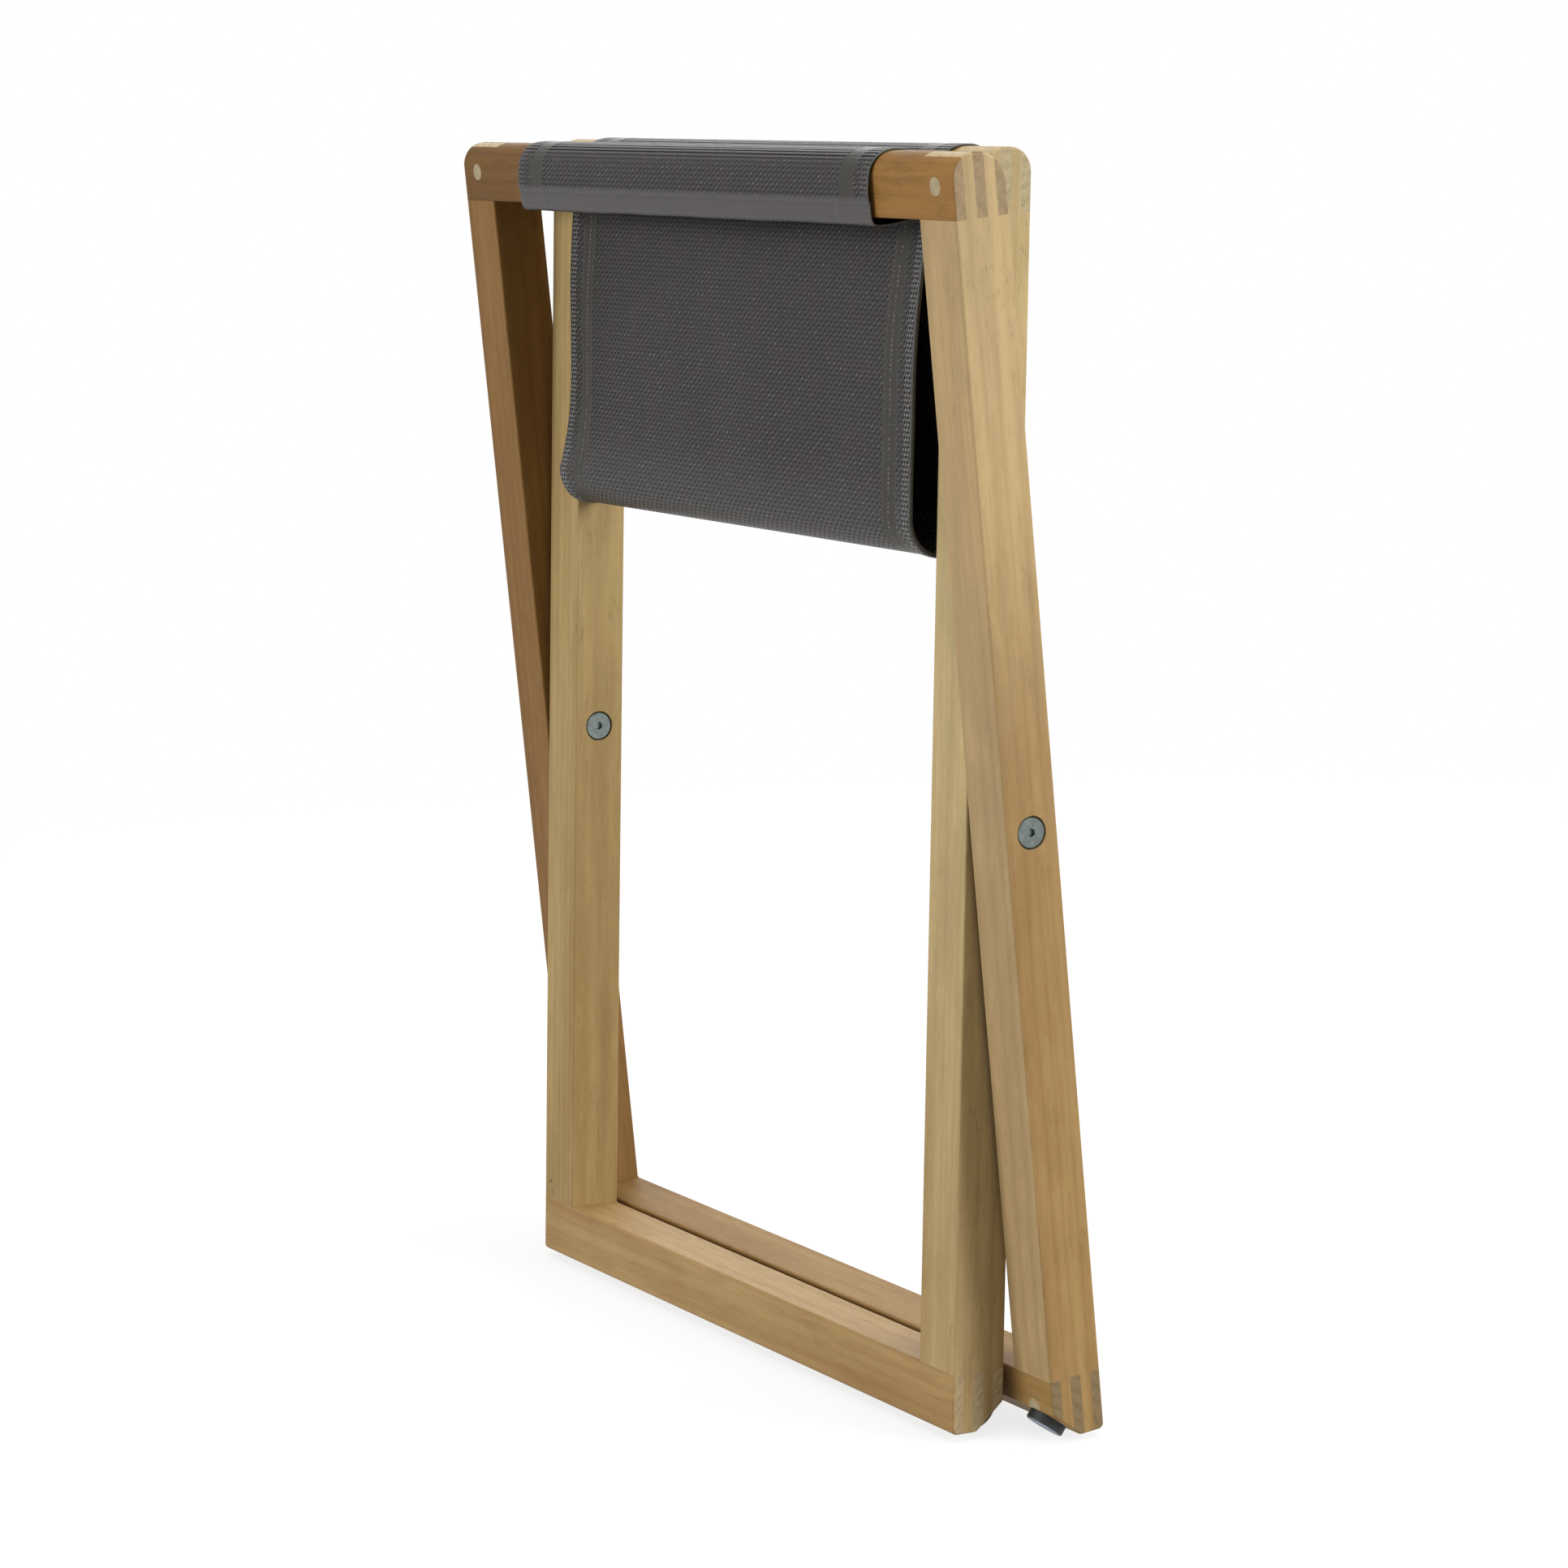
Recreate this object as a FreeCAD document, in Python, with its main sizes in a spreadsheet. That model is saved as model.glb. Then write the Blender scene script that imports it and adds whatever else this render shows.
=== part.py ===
import FreeCAD, Part
import math
import os
import re
import Sketcher

# Folding X-frame stool: two box-jointed teak frames that turn about two bolts, and a
# mesh sling between their top rails. It is drawn folded, standing on its four glides.
# Each frame is drawn upright about its pivot: X along the pivot axis, Y through the
# depth of the wood, Z along the legs, with the slanted foot on the -Y side. The inner
# frame is turned half round, so that its foot faces the other way, and each frame is
# then leant by half the fold.

doc = FreeCAD.newDocument("folding_stool")
sheet = doc.addObject("Spreadsheet::Sheet", "Dimensions")

DRIVING = (
    ("outer_width", 500),
    ("side_clearance", 3),
    ("leg_width", 32),
    ("wood_depth", 30),
    ("rail_height", 31),
    ("leg_above_pivot", 328),
    ("leg_below_pivot", 308),
    ("half_fold", 3.5),
    ("half_open", 42),
    ("seat_edge_radius", 16),
    ("under_edge_radius", 12),
    ("heel_radius", 3),
    ("toe_radius", 5),
    ("arris_radius", 1.2),
    ("foot_run", 15.5),
    ("finger_count", 5),
    ("dowel_diameter", 9),
    ("dowel_length", 24),
    ("dowel_drop_top", 15),
    ("dowel_rise_bottom", 14.6),
    ("head_diameter", 16),
    ("head_height", 2.4),
    ("head_bevel", 0.7),
    ("head_room", 0.4),
    ("counterbore_diameter", 16.8),
    ("socket_flats", 4),
    ("socket_depth", 1.8),
    ("shank_diameter", 6),
    ("shank_length", 40),
    ("barrel_diameter", 9),
    ("barrel_length", 60),
    ("running_clearance", 0.05),
    ("washer_diameter", 20),
    ("washer_play", 0.1),
    ("glide_diameter", 20),
    ("glide_height", 5),
    ("glide_edge", 0.8),
    ("sole_diameter", 16.5),
    ("sole_height", 1),
    ("nail_head_diameter", 8),
    ("nail_head_height", 1.2),
    ("nail_diameter", 2.4),
    ("nail_depth", 13),
    ("sling_width", 360),
    ("cloth_thickness", 0.9),
    ("panel_gap", 0.3),
    ("seam_height", 11),
    ("seam_drop", 5),
    ("loop_radius", 18.5),
    ("loop_bottom", 128.5),
    ("lip_angle", 50.56),
    ("loop_lean_top", 10),
    ("loop_lean_low", 3.5),
    ("strip_gap", 0.3),
    ("tongue_count", 3),
    ("tongue_clearance", 2),
    ("tongue_length", 11),
)

for row, (alias, value) in enumerate(DRIVING, start=1):
    sheet.set("A%d" % row, alias)
    sheet.set("B%d" % row, str(value))
    sheet.setAlias("B%d" % row, alias)
doc.recompute()

ALIASES = {alias for alias, _ in DRIVING}


def cell(expression):
    """Writes each alias in an expression as a reference to the sheet."""

    def refer(match):
        word = match.group()
        return "Dimensions." + word if word in ALIASES else word

    return re.sub("[a-z_]+", refer, expression)


def size(expression):
    """The value of an expression of the sheet's aliases."""
    return float(sheet.evalExpression(cell(expression)))


def bind(feature, prop, expression):
    feature.setExpression(prop, cell(expression))


ALONG_X = FreeCAD.Vector(1, 0, 0)
ALONG_Y = FreeCAD.Vector(0, 1, 0)
ALONG_Z = FreeCAD.Vector(0, 0, 1)
TOUCH = 0.01

# Places that follow from the driving sizes, as expressions where a sketch uses them

HALF_WIDTH = {
    "outer": "(outer_width / 2)",
    "inner": "(outer_width / 2 - leg_width - side_clearance)",
}
FRONT = "-1 * wood_depth / 2"
REAR = "wood_depth / 2"
TOP = "leg_above_pivot"
BOTTOM = "-1 * leg_below_pivot"
TOP_JOINT = "leg_above_pivot - rail_height"
BOTTOM_JOINT = "rail_height - leg_below_pivot"
FINGER = "wood_depth / finger_count"
FOOT_RISE = "foot_run * tan(half_open)"
TOP_DOWEL = "leg_above_pivot - dowel_drop_top"
BOTTOM_DOWEL = "dowel_rise_bottom - leg_below_pivot"

# The foot is a slope that lies flat on the floor when the stool is open. A glide stands
# on the middle of it, and its lower rim is the lowest point of the folded stool.

FOOT_ANGLE = math.radians(size("half_open"))
FOOT_TURN = 180 - size("half_open")
FOOT_MIDDLE_Y = size(FRONT) + size("foot_run") / 2
FOOT_MIDDLE_Z = size(BOTTOM) + size(FOOT_RISE) / 2
LEAN = math.radians(size("half_fold"))


def pivot_height():
    """Height of the pivot when the rounded rims of the glides stand on the floor."""
    edge = size("glide_edge")
    reach = size("glide_diameter") / 2 - edge
    drop = size("glide_height") - edge
    rim_y = FOOT_MIDDLE_Y - drop * math.sin(FOOT_ANGLE) + reach * math.cos(FOOT_ANGLE)
    rim_z = FOOT_MIDDLE_Z - drop * math.cos(FOOT_ANGLE) - reach * math.sin(FOOT_ANGLE)
    return edge - (rim_y * math.sin(LEAN) + rim_z * math.cos(LEAN))


PIVOT_HEIGHT = pivot_height()


def frame_placement(which):
    """Where a frame drawn upright about its pivot stands in the folded stool."""
    at_pivot = FreeCAD.Vector(0, 0, PIVOT_HEIGHT)
    if which == "outer":
        return FreeCAD.Placement(at_pivot, FreeCAD.Rotation(ALONG_X, size("half_fold")))
    half_turn = FreeCAD.Placement(FreeCAD.Vector(), FreeCAD.Rotation(ALONG_Z, 180))
    leaning = FreeCAD.Placement(at_pivot, FreeCAD.Rotation(ALONG_X, -size("half_fold")))
    return leaning.multiply(half_turn)


def foot_placement(x):
    """A place on the middle of the sloping foot, its Z axis pointing out of the wood."""
    middle = FreeCAD.Vector(x, FOOT_MIDDLE_Y, FOOT_MIDDLE_Z)
    return FreeCAD.Placement(middle, FreeCAD.Rotation(ALONG_X, FOOT_TURN))


subparts = []


def keep(feature, label, placement):
    """Names a finished sub-part and puts it in its place."""
    feature.Label = label
    feature.Placement = placement
    subparts.append(feature)


# Sketches and features of a body

def new_body(name):
    return doc.addObject("PartDesign::Body", name + "_body")


def new_sketch(body, role, offset=None):
    """A sketch on one of the body's own planes, moved along the plane's normal."""
    plane = next(item for item in body.Origin.OriginFeatures if item.Role == role)
    sketch = body.newObject("Sketcher::SketchObject", body.Name + "_sketch")
    sketch.AttachmentSupport = [(plane, "")]
    sketch.MapMode = "FlatFace"
    if offset is not None:
        bind(sketch, "AttachmentOffset.Base.z", offset)
    return sketch


def add_distance(sketch, kind, geometry, vertex, expression):
    """Dimensions one vertex from the sketch's origin, along X or along Y."""
    constraint = Sketcher.Constraint(kind, -1, 1, geometry, vertex, size(expression))
    number = sketch.addConstraint(constraint)
    sketch.setExpression("Constraints[%d]" % number, cell(expression))


def add_outline(sketch, points):
    """A closed outline through dimensioned corners, each a pair of expressions."""
    first = sketch.GeometryCount
    places = [FreeCAD.Vector(size(across), size(up), 0) for across, up in points]
    count = len(places)
    for i, place in enumerate(places):
        sketch.addGeometry(Part.LineSegment(place, places[(i + 1) % count]))
    for i in range(count):
        following = first + (i + 1) % count
        sketch.addConstraint(Sketcher.Constraint("Coincident", first + i, 2, following, 1))
    for i, (across, up) in enumerate(points):
        add_distance(sketch, "DistanceX", first + i, 1, across)
        add_distance(sketch, "DistanceY", first + i, 1, up)


def add_rectangle(sketch, left, right, low, high):
    add_outline(sketch, [(left, low), (right, low), (right, high), (left, high)])


def add_circle(sketch, across, up, diameter):
    centre = FreeCAD.Vector(size(across), size(up), 0)
    number = sketch.addGeometry(Part.Circle(centre, ALONG_Z, size(diameter) / 2))
    add_distance(sketch, "DistanceX", number, 3, across)
    add_distance(sketch, "DistanceY", number, 3, up)
    constraint = sketch.addConstraint(
        Sketcher.Constraint("Diameter", number, size(diameter))
    )
    sketch.setExpression("Constraints[%d]" % constraint, cell(diameter))


def pad(body, sketch, length, both_ways=False):
    feature = body.newObject("PartDesign::Pad", body.Name + "_pad")
    feature.Profile = sketch
    bind(feature, "Length", length)
    if both_ways:
        feature.SideType = "Symmetric"
    feature.Refine = True
    doc.recompute()


def pocket(body, sketch, length, both_ways=False, forwards=False):
    """Cuts against the sketch's normal, or along it when forwards is set."""
    before = body.Shape.Volume
    feature = body.newObject("PartDesign::Pocket", body.Name + "_pocket")
    feature.Profile = sketch
    bind(feature, "Length", length)
    if both_ways:
        feature.SideType = "Symmetric"
    feature.Reversed = forwards
    feature.Refine = True
    doc.recompute()
    if feature.Shape.Volume > before - TOUCH:
        raise RuntimeError(body.Name + ": a pocket removes nothing")


def near(low, high, value):
    return abs(low - value) < TOUCH and abs(high - value) < TOUCH


def edges_where(feature, test):
    """Names of the edges whose bounding box passes the test."""
    names = []
    for number, edge in enumerate(feature.Shape.Edges, start=1):
        if test(edge.BoundBox):
            names.append("Edge%d" % number)
    if not names:
        raise RuntimeError(feature.Name + ": no such edge")
    return names


def edge_along_x(feature, y, z):
    return edges_where(
        feature,
        lambda box: near(box.YMin, box.YMax, y) and near(box.ZMin, box.ZMax, z),
    )


def round_edges(body, names, radius):
    before = body.Tip
    feature = body.newObject("PartDesign::Fillet", body.Name + "_fillet")
    feature.Base = (before, names)
    bind(feature, "Radius", radius)
    doc.recompute()
    if "Invalid" in feature.State or not feature.Shape.isValid():
        raise RuntimeError(body.Name + ": a fillet fails at radius " + radius)


# Cuts that legs and rails share

def cut_foot_slope(body):
    """The slope under the toe, drawn as a triangle larger than the wood it removes."""
    sketch = new_sketch(body, "YZ_Plane")
    low = BOTTOM + " - " + FOOT_RISE
    outer_edge = FRONT + " - foot_run"
    add_outline(
        sketch,
        [
            (outer_edge, low),
            (FRONT + " + 2 * foot_run", low),
            (outer_edge, BOTTOM + " + 2 * " + FOOT_RISE),
        ],
    )
    pocket(body, sketch, "2 * outer_width", both_ways=True)


def round_foot(body):
    toe = size(FRONT) + size("foot_run")
    round_edges(body, edge_along_x(body.Tip, size(REAR), size(BOTTOM)), "heel_radius")
    round_edges(body, edge_along_x(body.Tip, toe, size(BOTTOM)), "toe_radius")


def round_top(body):
    round_edges(body, edge_along_x(body.Tip, size(REAR), size(TOP)), "seat_edge_radius")
    round_edges(body, edge_along_x(body.Tip, size(FRONT), size(TOP)), "under_edge_radius")


def drill_dowel_holes(body, places):
    sketch = new_sketch(body, "XZ_Plane", REAR)
    for x, z in places:
        add_circle(sketch, x, z, "dowel_diameter")
    pocket(body, sketch, "dowel_length")


def drill_nail_holes(body, sides, which):
    """Blind holes square to the foot slope, under the middle of each glide."""
    for side in sides:
        sketch = new_sketch(body, "XY_Plane")
        sketch.AttachmentOffset = foot_placement(0)
        bind(sketch, "AttachmentOffset.Base.x", leg_middle(which, side))
        add_circle(sketch, "0", "0", "nail_diameter")
        pocket(body, sketch, "nail_depth")


def leg_middle(which, side):
    return "%d * (%s - leg_width / 2)" % (side, HALF_WIDTH[which])


def rail_finger_rows():
    """Depth ranges of the three fingers that a rail sends through a leg."""
    return [
        (FRONT + " - foot_run", FRONT + " + " + FINGER),
        (FRONT + " + 2 * " + FINGER, FRONT + " + 3 * " + FINGER),
        (FRONT + " + 4 * " + FINGER, REAR + " + foot_run"),
    ]


def leg_finger_rows():
    """Depth ranges of the two fingers that a leg sends through a rail."""
    return [
        (FRONT + " + " + FINGER, FRONT + " + 2 * " + FINGER),
        (FRONT + " + 3 * " + FINGER, FRONT + " + 4 * " + FINGER),
    ]


def make_leg(which, side, label):
    """A leg with its foot slope, box-joint ends, dowel holes and pivot bore."""
    body = new_body(label)
    half = HALF_WIDTH[which]
    outer_face = "%d * %s" % (side, half)
    inner_face = "%d * (%s - leg_width)" % (side, half)
    section = new_sketch(body, "XY_Plane", BOTTOM)
    left, right = (inner_face, outer_face) if side > 0 else (outer_face, inner_face)
    add_rectangle(section, left, right, FRONT, REAR)
    pad(body, section, "leg_above_pivot + leg_below_pivot")
    cut_foot_slope(body)
    round_foot(body)
    round_top(body)
    outside = size(outer_face)
    outline = edges_where(body.Tip, lambda box: near(box.XMin, box.XMax, outside))
    round_edges(body, outline, "arris_radius")
    sketch = new_sketch(body, "YZ_Plane")
    for near_side, far_side in rail_finger_rows():
        add_rectangle(sketch, near_side, far_side, TOP_JOINT, TOP + " + 10")
        add_rectangle(sketch, near_side, far_side, BOTTOM + " - 10", BOTTOM_JOINT)
    pocket(body, sketch, "2 * outer_width", both_ways=True)
    inside = size(inner_face)
    long_edge = size("leg_above_pivot") / 2
    inner_edges = edges_where(
        body.Tip, lambda box: near(box.XMin, box.XMax, inside) and box.ZLength > long_edge
    )
    round_edges(body, inner_edges, "arris_radius")
    middle = leg_middle(which, side)
    drill_dowel_holes(body, [(middle, TOP_DOWEL), (middle, BOTTOM_DOWEL)])
    drill_nail_holes(body, [side], which)
    if which == "outer":
        drill_outer_pivot(body, side)
    else:
        drill_inner_pivot(body, side)
    keep(body, label, frame_placement(which))


def drill_outer_pivot(body, side):
    """A counterbore for the bolt head, and a tight bore for the sleeve nut."""
    face = "%d * %s" % (side, HALF_WIDTH["outer"])
    sleeve_end = "%d * (%s - leg_width + barrel_length)" % (side, HALF_WIDTH["inner"])
    forwards = side < 0
    steps = (
        (face, "counterbore_diameter", "head_height + head_room"),
        (face, "shank_diameter", "leg_width / 2"),
        (sleeve_end, "barrel_diameter", "leg_width"),
    )
    for start, diameter, depth in steps:
        sketch = new_sketch(body, "YZ_Plane", start)
        add_circle(sketch, "0", "0", diameter)
        pocket(body, sketch, depth, forwards=forwards)


def drill_inner_pivot(body, side):
    """A counterbore for the nut's head, and a bore that turns on its barrel."""
    face = "%d * (%s - leg_width)" % (side, HALF_WIDTH["inner"])
    steps = (
        ("counterbore_diameter", "head_height + head_room"),
        ("barrel_diameter + 2 * running_clearance", "leg_width + side_clearance"),
    )
    for diameter, depth in steps:
        sketch = new_sketch(body, "YZ_Plane", face)
        add_circle(sketch, "0", "0", diameter)
        pocket(body, sketch, depth, forwards=side > 0)


def make_rail(which, at_top, label):
    """A rail between two legs, with three fingers through each of them."""
    body = new_body(label)
    half = HALF_WIDTH[which]
    low, high = (TOP_JOINT, TOP) if at_top else (BOTTOM, BOTTOM_JOINT)
    joint = size(TOP_JOINT if at_top else BOTTOM_JOINT)
    middle = new_sketch(body, "YZ_Plane")
    add_rectangle(middle, FRONT, REAR, low, high)
    pad(body, middle, "2 * (%s - leg_width)" % half, both_ways=True)
    for face in (FRONT, REAR):
        round_edges(body, edge_along_x(body.Tip, size(face), joint), "arris_radius")
    for side in (-1, 1):
        start = "%s - leg_width" % half if side > 0 else "-1 * %s" % half
        end_block = new_sketch(body, "YZ_Plane", start)
        add_rectangle(end_block, FRONT, REAR, low, high)
        pad(body, end_block, "leg_width")
    if at_top:
        round_top(body)
    else:
        cut_foot_slope(body)
        round_foot(body)
    reach = size(half)
    for end in (-reach, reach):
        outline = edges_where(
            body.Tip,
            lambda box: near(box.XMin, box.XMax, end) and not near(box.ZMin, box.ZMax, joint),
        )
        round_edges(body, outline, "arris_radius")
    slots = new_sketch(body, "XY_Plane")
    for side in (-1, 1):
        inner = "%d * (%s - leg_width)" % (side, half)
        outer = "%d * (%s + 10)" % (side, half)
        left, right = (inner, outer) if side > 0 else (outer, inner)
        for near_side, far_side in leg_finger_rows():
            add_rectangle(slots, left, right, near_side, far_side)
    pocket(body, slots, "4 * leg_above_pivot", both_ways=True)
    height = TOP_DOWEL if at_top else BOTTOM_DOWEL
    drill_dowel_holes(body, [(leg_middle(which, side), height) for side in (-1, 1)])
    if not at_top:
        drill_nail_holes(body, (-1, 1), which)
    keep(body, label, frame_placement(which))


# Round pieces: dowels, glides, nails and the pivot bolts

def cylinder(name, diameter, height, placement):
    feature = doc.addObject("Part::Cylinder", name)
    bind(feature, "Radius", "(" + diameter + ") / 2")
    bind(feature, "Height", height)
    feature.Placement = placement
    return feature


def fuse(name, shapes):
    feature = doc.addObject("Part::MultiFuse", name)
    feature.Shapes = shapes
    return feature


def cut(name, base, tool):
    feature = doc.addObject("Part::Cut", name)
    feature.Base = base
    feature.Tool = tool
    return feature


def middle_x(which, side):
    return size(leg_middle(which, side))


def nail_solid(name, x):
    """A round nail whose head is bedded in the glide."""
    foot = foot_placement(x)
    seat = size("glide_height - sole_height - nail_head_height")
    head_place = foot.multiply(FreeCAD.Placement(FreeCAD.Vector(0, 0, seat), FreeCAD.Rotation()))
    tip = FreeCAD.Vector(0, 0, -size("nail_depth"))
    shank_place = foot.multiply(FreeCAD.Placement(tip, FreeCAD.Rotation()))
    head = cylinder(name + "_head", "nail_head_diameter", "nail_head_height", head_place)
    shank_height = "nail_depth + glide_height - sole_height - nail_head_height"
    shank = cylinder(name + "_shank", "nail_diameter", shank_height, shank_place)
    return fuse(name, [head, shank])


def make_dowels(which, label):
    """Four dowels, the lower two cut by the foot slope and pierced by the nails."""
    pegs = []
    cutters = []
    for side in (-1, 1):
        x = middle_x(which, side)
        for number, height in enumerate((TOP_DOWEL, BOTTOM_DOWEL)):
            start = FreeCAD.Vector(x, size(FRONT), size(height))
            place = FreeCAD.Placement(start, FreeCAD.Rotation(ALONG_X, -90))
            name = "%s_peg_%d_%d" % (which, side + 1, number)
            pegs.append(cylinder(name, "dowel_diameter", "dowel_length", place))
        cutters.append(nail_solid("%s_nail_hole_%d" % (which, side + 1), x))
        slope = doc.addObject("Part::Box", "%s_slope_%d" % (which, side + 1))
        for prop in ("Length", "Width", "Height"):
            bind(slope, prop, "leg_width")
        corner = FreeCAD.Vector(-size("leg_width") / 2, -size("leg_width") / 2, 0)
        slope.Placement = foot_placement(x).multiply(FreeCAD.Placement(corner, FreeCAD.Rotation()))
        cutters.append(slope)
    dowels = cut(label + "_cut", fuse(label + "_pegs", pegs), fuse(label + "_tools", cutters))
    keep(dowels, label, frame_placement(which))


def make_glide(which, side, label):
    """A round cup with a rounded rim, a recess for its sole and a seat for its nail."""
    body = new_body(label)
    disc = new_sketch(body, "XY_Plane")
    add_circle(disc, "0", "0", "glide_diameter")
    pad(body, disc, "glide_height")
    height = size("glide_height")
    rim = edges_where(body.Tip, lambda box: near(box.ZMin, box.ZMax, height))
    round_edges(body, rim, "glide_edge")
    steps = (
        ("sole_diameter", "sole_height"),
        ("nail_head_diameter", "sole_height + nail_head_height"),
        ("nail_diameter", "glide_height"),
    )
    for diameter, depth in steps:
        sketch = new_sketch(body, "XY_Plane", "glide_height")
        add_circle(sketch, "0", "0", diameter)
        pocket(body, sketch, depth)
    place = frame_placement(which).multiply(foot_placement(middle_x(which, side)))
    keep(body, label, place)


def make_soles(which, label):
    soles = []
    for side in (-1, 1):
        lift = FreeCAD.Vector(0, 0, size("glide_height - sole_height"))
        place = foot_placement(middle_x(which, side))
        place = place.multiply(FreeCAD.Placement(lift, FreeCAD.Rotation()))
        name = "%s_sole_%d" % (which, side + 1)
        soles.append(cylinder(name, "sole_diameter", "sole_height", place))
    keep(fuse(label + "_pair", soles), label, frame_placement(which))


def make_nails(which, label):
    nails = []
    for side in (-1, 1):
        nails.append(nail_solid("%s_nail_%d" % (which, side + 1), middle_x(which, side)))
    keep(fuse(label + "_pair", nails), label, frame_placement(which))


def along_pivot(x, side):
    """A place on the pivot axis whose Z axis points outwards on the given side."""
    return FreeCAD.Placement(FreeCAD.Vector(x, 0, 0), FreeCAD.Rotation(ALONG_Y, 90 * side))


def socket_tool(name, x, side):
    """A hexagonal socket cut into a head whose outer face is at x."""
    tool = doc.addObject("Part::Prism", name)
    tool.Polygon = 6
    bind(tool, "Circumradius", "socket_flats / sqrt(3)")
    bind(tool, "Height", "socket_depth + head_room")
    tool.Placement = along_pivot(x, side)
    return tool


def bevelled_head(name, x, side):
    """A flat round head that stands on its seat at x, its outer edge bevelled."""
    straight = "head_height - head_bevel"
    disc = cylinder(name + "_disc", "head_diameter", straight, along_pivot(x, side))
    bevel = doc.addObject("Part::Cone", name + "_bevel")
    bind(bevel, "Radius1", "head_diameter / 2")
    bind(bevel, "Radius2", "head_diameter / 2 - head_bevel")
    bind(bevel, "Height", "head_bevel")
    bevel.Placement = along_pivot(x + side * size(straight), side)
    return fuse(name, [disc, bevel])


def make_bolt(side, label):
    """A flat-headed connector bolt, its head just under the face of the leg."""
    seat = size("outer_width / 2 - head_room - head_height")
    head = bevelled_head(label + "_head", side * seat, side)
    tip = seat - size("shank_length")
    shank = cylinder(
        label + "_shank", "shank_diameter", "shank_length", along_pivot(side * tip, side)
    )
    socket_floor = seat + size("head_height - socket_depth")
    socket = socket_tool(label + "_socket", side * socket_floor, side)
    bolt = cut(label + "_cut", fuse(label + "_whole", [head, shank]), socket)
    keep(bolt, label, frame_placement("outer"))


def make_nut(side, label):
    """A sleeve nut: the barrel is the bearing that the inner leg turns on."""
    inner_face = size(HALF_WIDTH["inner"]) - size("leg_width")
    seat = inner_face + size("head_room")
    head = bevelled_head(label + "_head", side * (seat + size("head_height")), -side)
    barrel = cylinder(
        label + "_barrel",
        "barrel_diameter",
        "barrel_length - head_room",
        along_pivot(side * seat, side),
    )
    bolt_tip = size("outer_width / 2 - head_room - head_height - shank_length")
    thread = cylinder(
        label + "_thread", "shank_diameter", "shank_length", along_pivot(side * bolt_tip, side)
    )
    socket = socket_tool(label + "_socket", side * (seat - size("head_room")), side)
    tools = fuse(label + "_tools", [thread, socket])
    nut = cut(label + "_cut", fuse(label + "_whole", [head, barrel]), tools)
    keep(nut, label, frame_placement("outer"))


def make_washer(side, label):
    start = size(HALF_WIDTH["inner"]) + size("washer_play")
    ring_height = "side_clearance - 2 * washer_play"
    disc = cylinder(label + "_disc", "washer_diameter", ring_height, along_pivot(side * start, side))
    hole = cylinder(
        label + "_hole", "barrel_diameter", "side_clearance", along_pivot(side * start, side)
    )
    keep(cut(label + "_cut", disc, hole), label, frame_placement("outer"))


# The sling. Its pocket is a ring round the top rail with a welded seam in front. The
# rest hangs as a loop between the rails. Each half of it is drawn as a lip over the
# rail's seat edge, a panel and three strips of the bend, which turn at their ends. The
# strips and the end of the panel are tongues in every second band of the width, so that
# the two halves pass between each other.

def rail_outline(grow):
    """Lines and arcs round the top rail's section, grown outwards."""
    front = size(FRONT)
    rear = size(REAR)
    low = size(TOP_JOINT)
    top = size(TOP)
    arris = size("arris_radius")
    seat_edge = size("seat_edge_radius")
    under_edge = size("under_edge_radius")
    corners = (
        (front + arris, low + arris, arris, 180),
        (rear - arris, low + arris, arris, 270),
        (rear - seat_edge, top - seat_edge, seat_edge, 0),
        (front + under_edge, top - under_edge, under_edge, 90),
    )
    pieces = []
    for y, z, radius, start in corners:
        circle = Part.Circle(FreeCAD.Vector(y, z, 0), ALONG_Z, radius + grow)
        pieces.append(Part.ArcOfCircle(circle, math.radians(start), math.radians(start + 90)))
    outline = []
    for i, arc in enumerate(pieces):
        outline.append(arc)
        outline.append(Part.LineSegment(arc.EndPoint, pieces[(i + 1) % 4].StartPoint))
    return outline


def make_sleeve(which, label):
    body = new_body(label)
    sketch = new_sketch(body, "YZ_Plane")
    for grow in (0, size("cloth_thickness")):
        for piece in rail_outline(grow):
            sketch.addGeometry(piece)
    pad(body, sketch, "sling_width", both_ways=True)
    keep(body, label, frame_placement(which))


def make_seam(which, label):
    body = new_body(label)
    sketch = new_sketch(body, "YZ_Plane")
    low = TOP_JOINT + " - seam_drop"
    add_rectangle(
        sketch,
        FRONT + " - 2 * cloth_thickness",
        FRONT + " - cloth_thickness",
        low,
        low + " + seam_height",
    )
    pad(body, sketch, "sling_width", both_ways=True)
    keep(body, label, frame_placement(which))


def to_frame(y, z):
    """A point of the folded stool, from the pivot, in the outer frame's own axes."""
    return FreeCAD.Vector(
        y * math.cos(LEAN) + z * math.sin(LEAN),
        z * math.cos(LEAN) - y * math.sin(LEAN),
        0,
    )


COVER = size("cloth_thickness * 3 / 2 + panel_gap")


def lip_points():
    """The middle line of the lip, round the seat edge and down the rail's face."""
    radius = size("seat_edge_radius")
    centre = FreeCAD.Vector(size(REAR) - radius, size(TOP) - radius, 0)
    start = size("lip_angle")
    points = []
    for share in (0, 1 / 3, 2 / 3, 1):
        angle = math.radians(start + share * (90 - start))
        outwards = FreeCAD.Vector(math.sin(angle), math.cos(angle), 0)
        points.append(centre + outwards * (radius + COVER))
    return points


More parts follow.
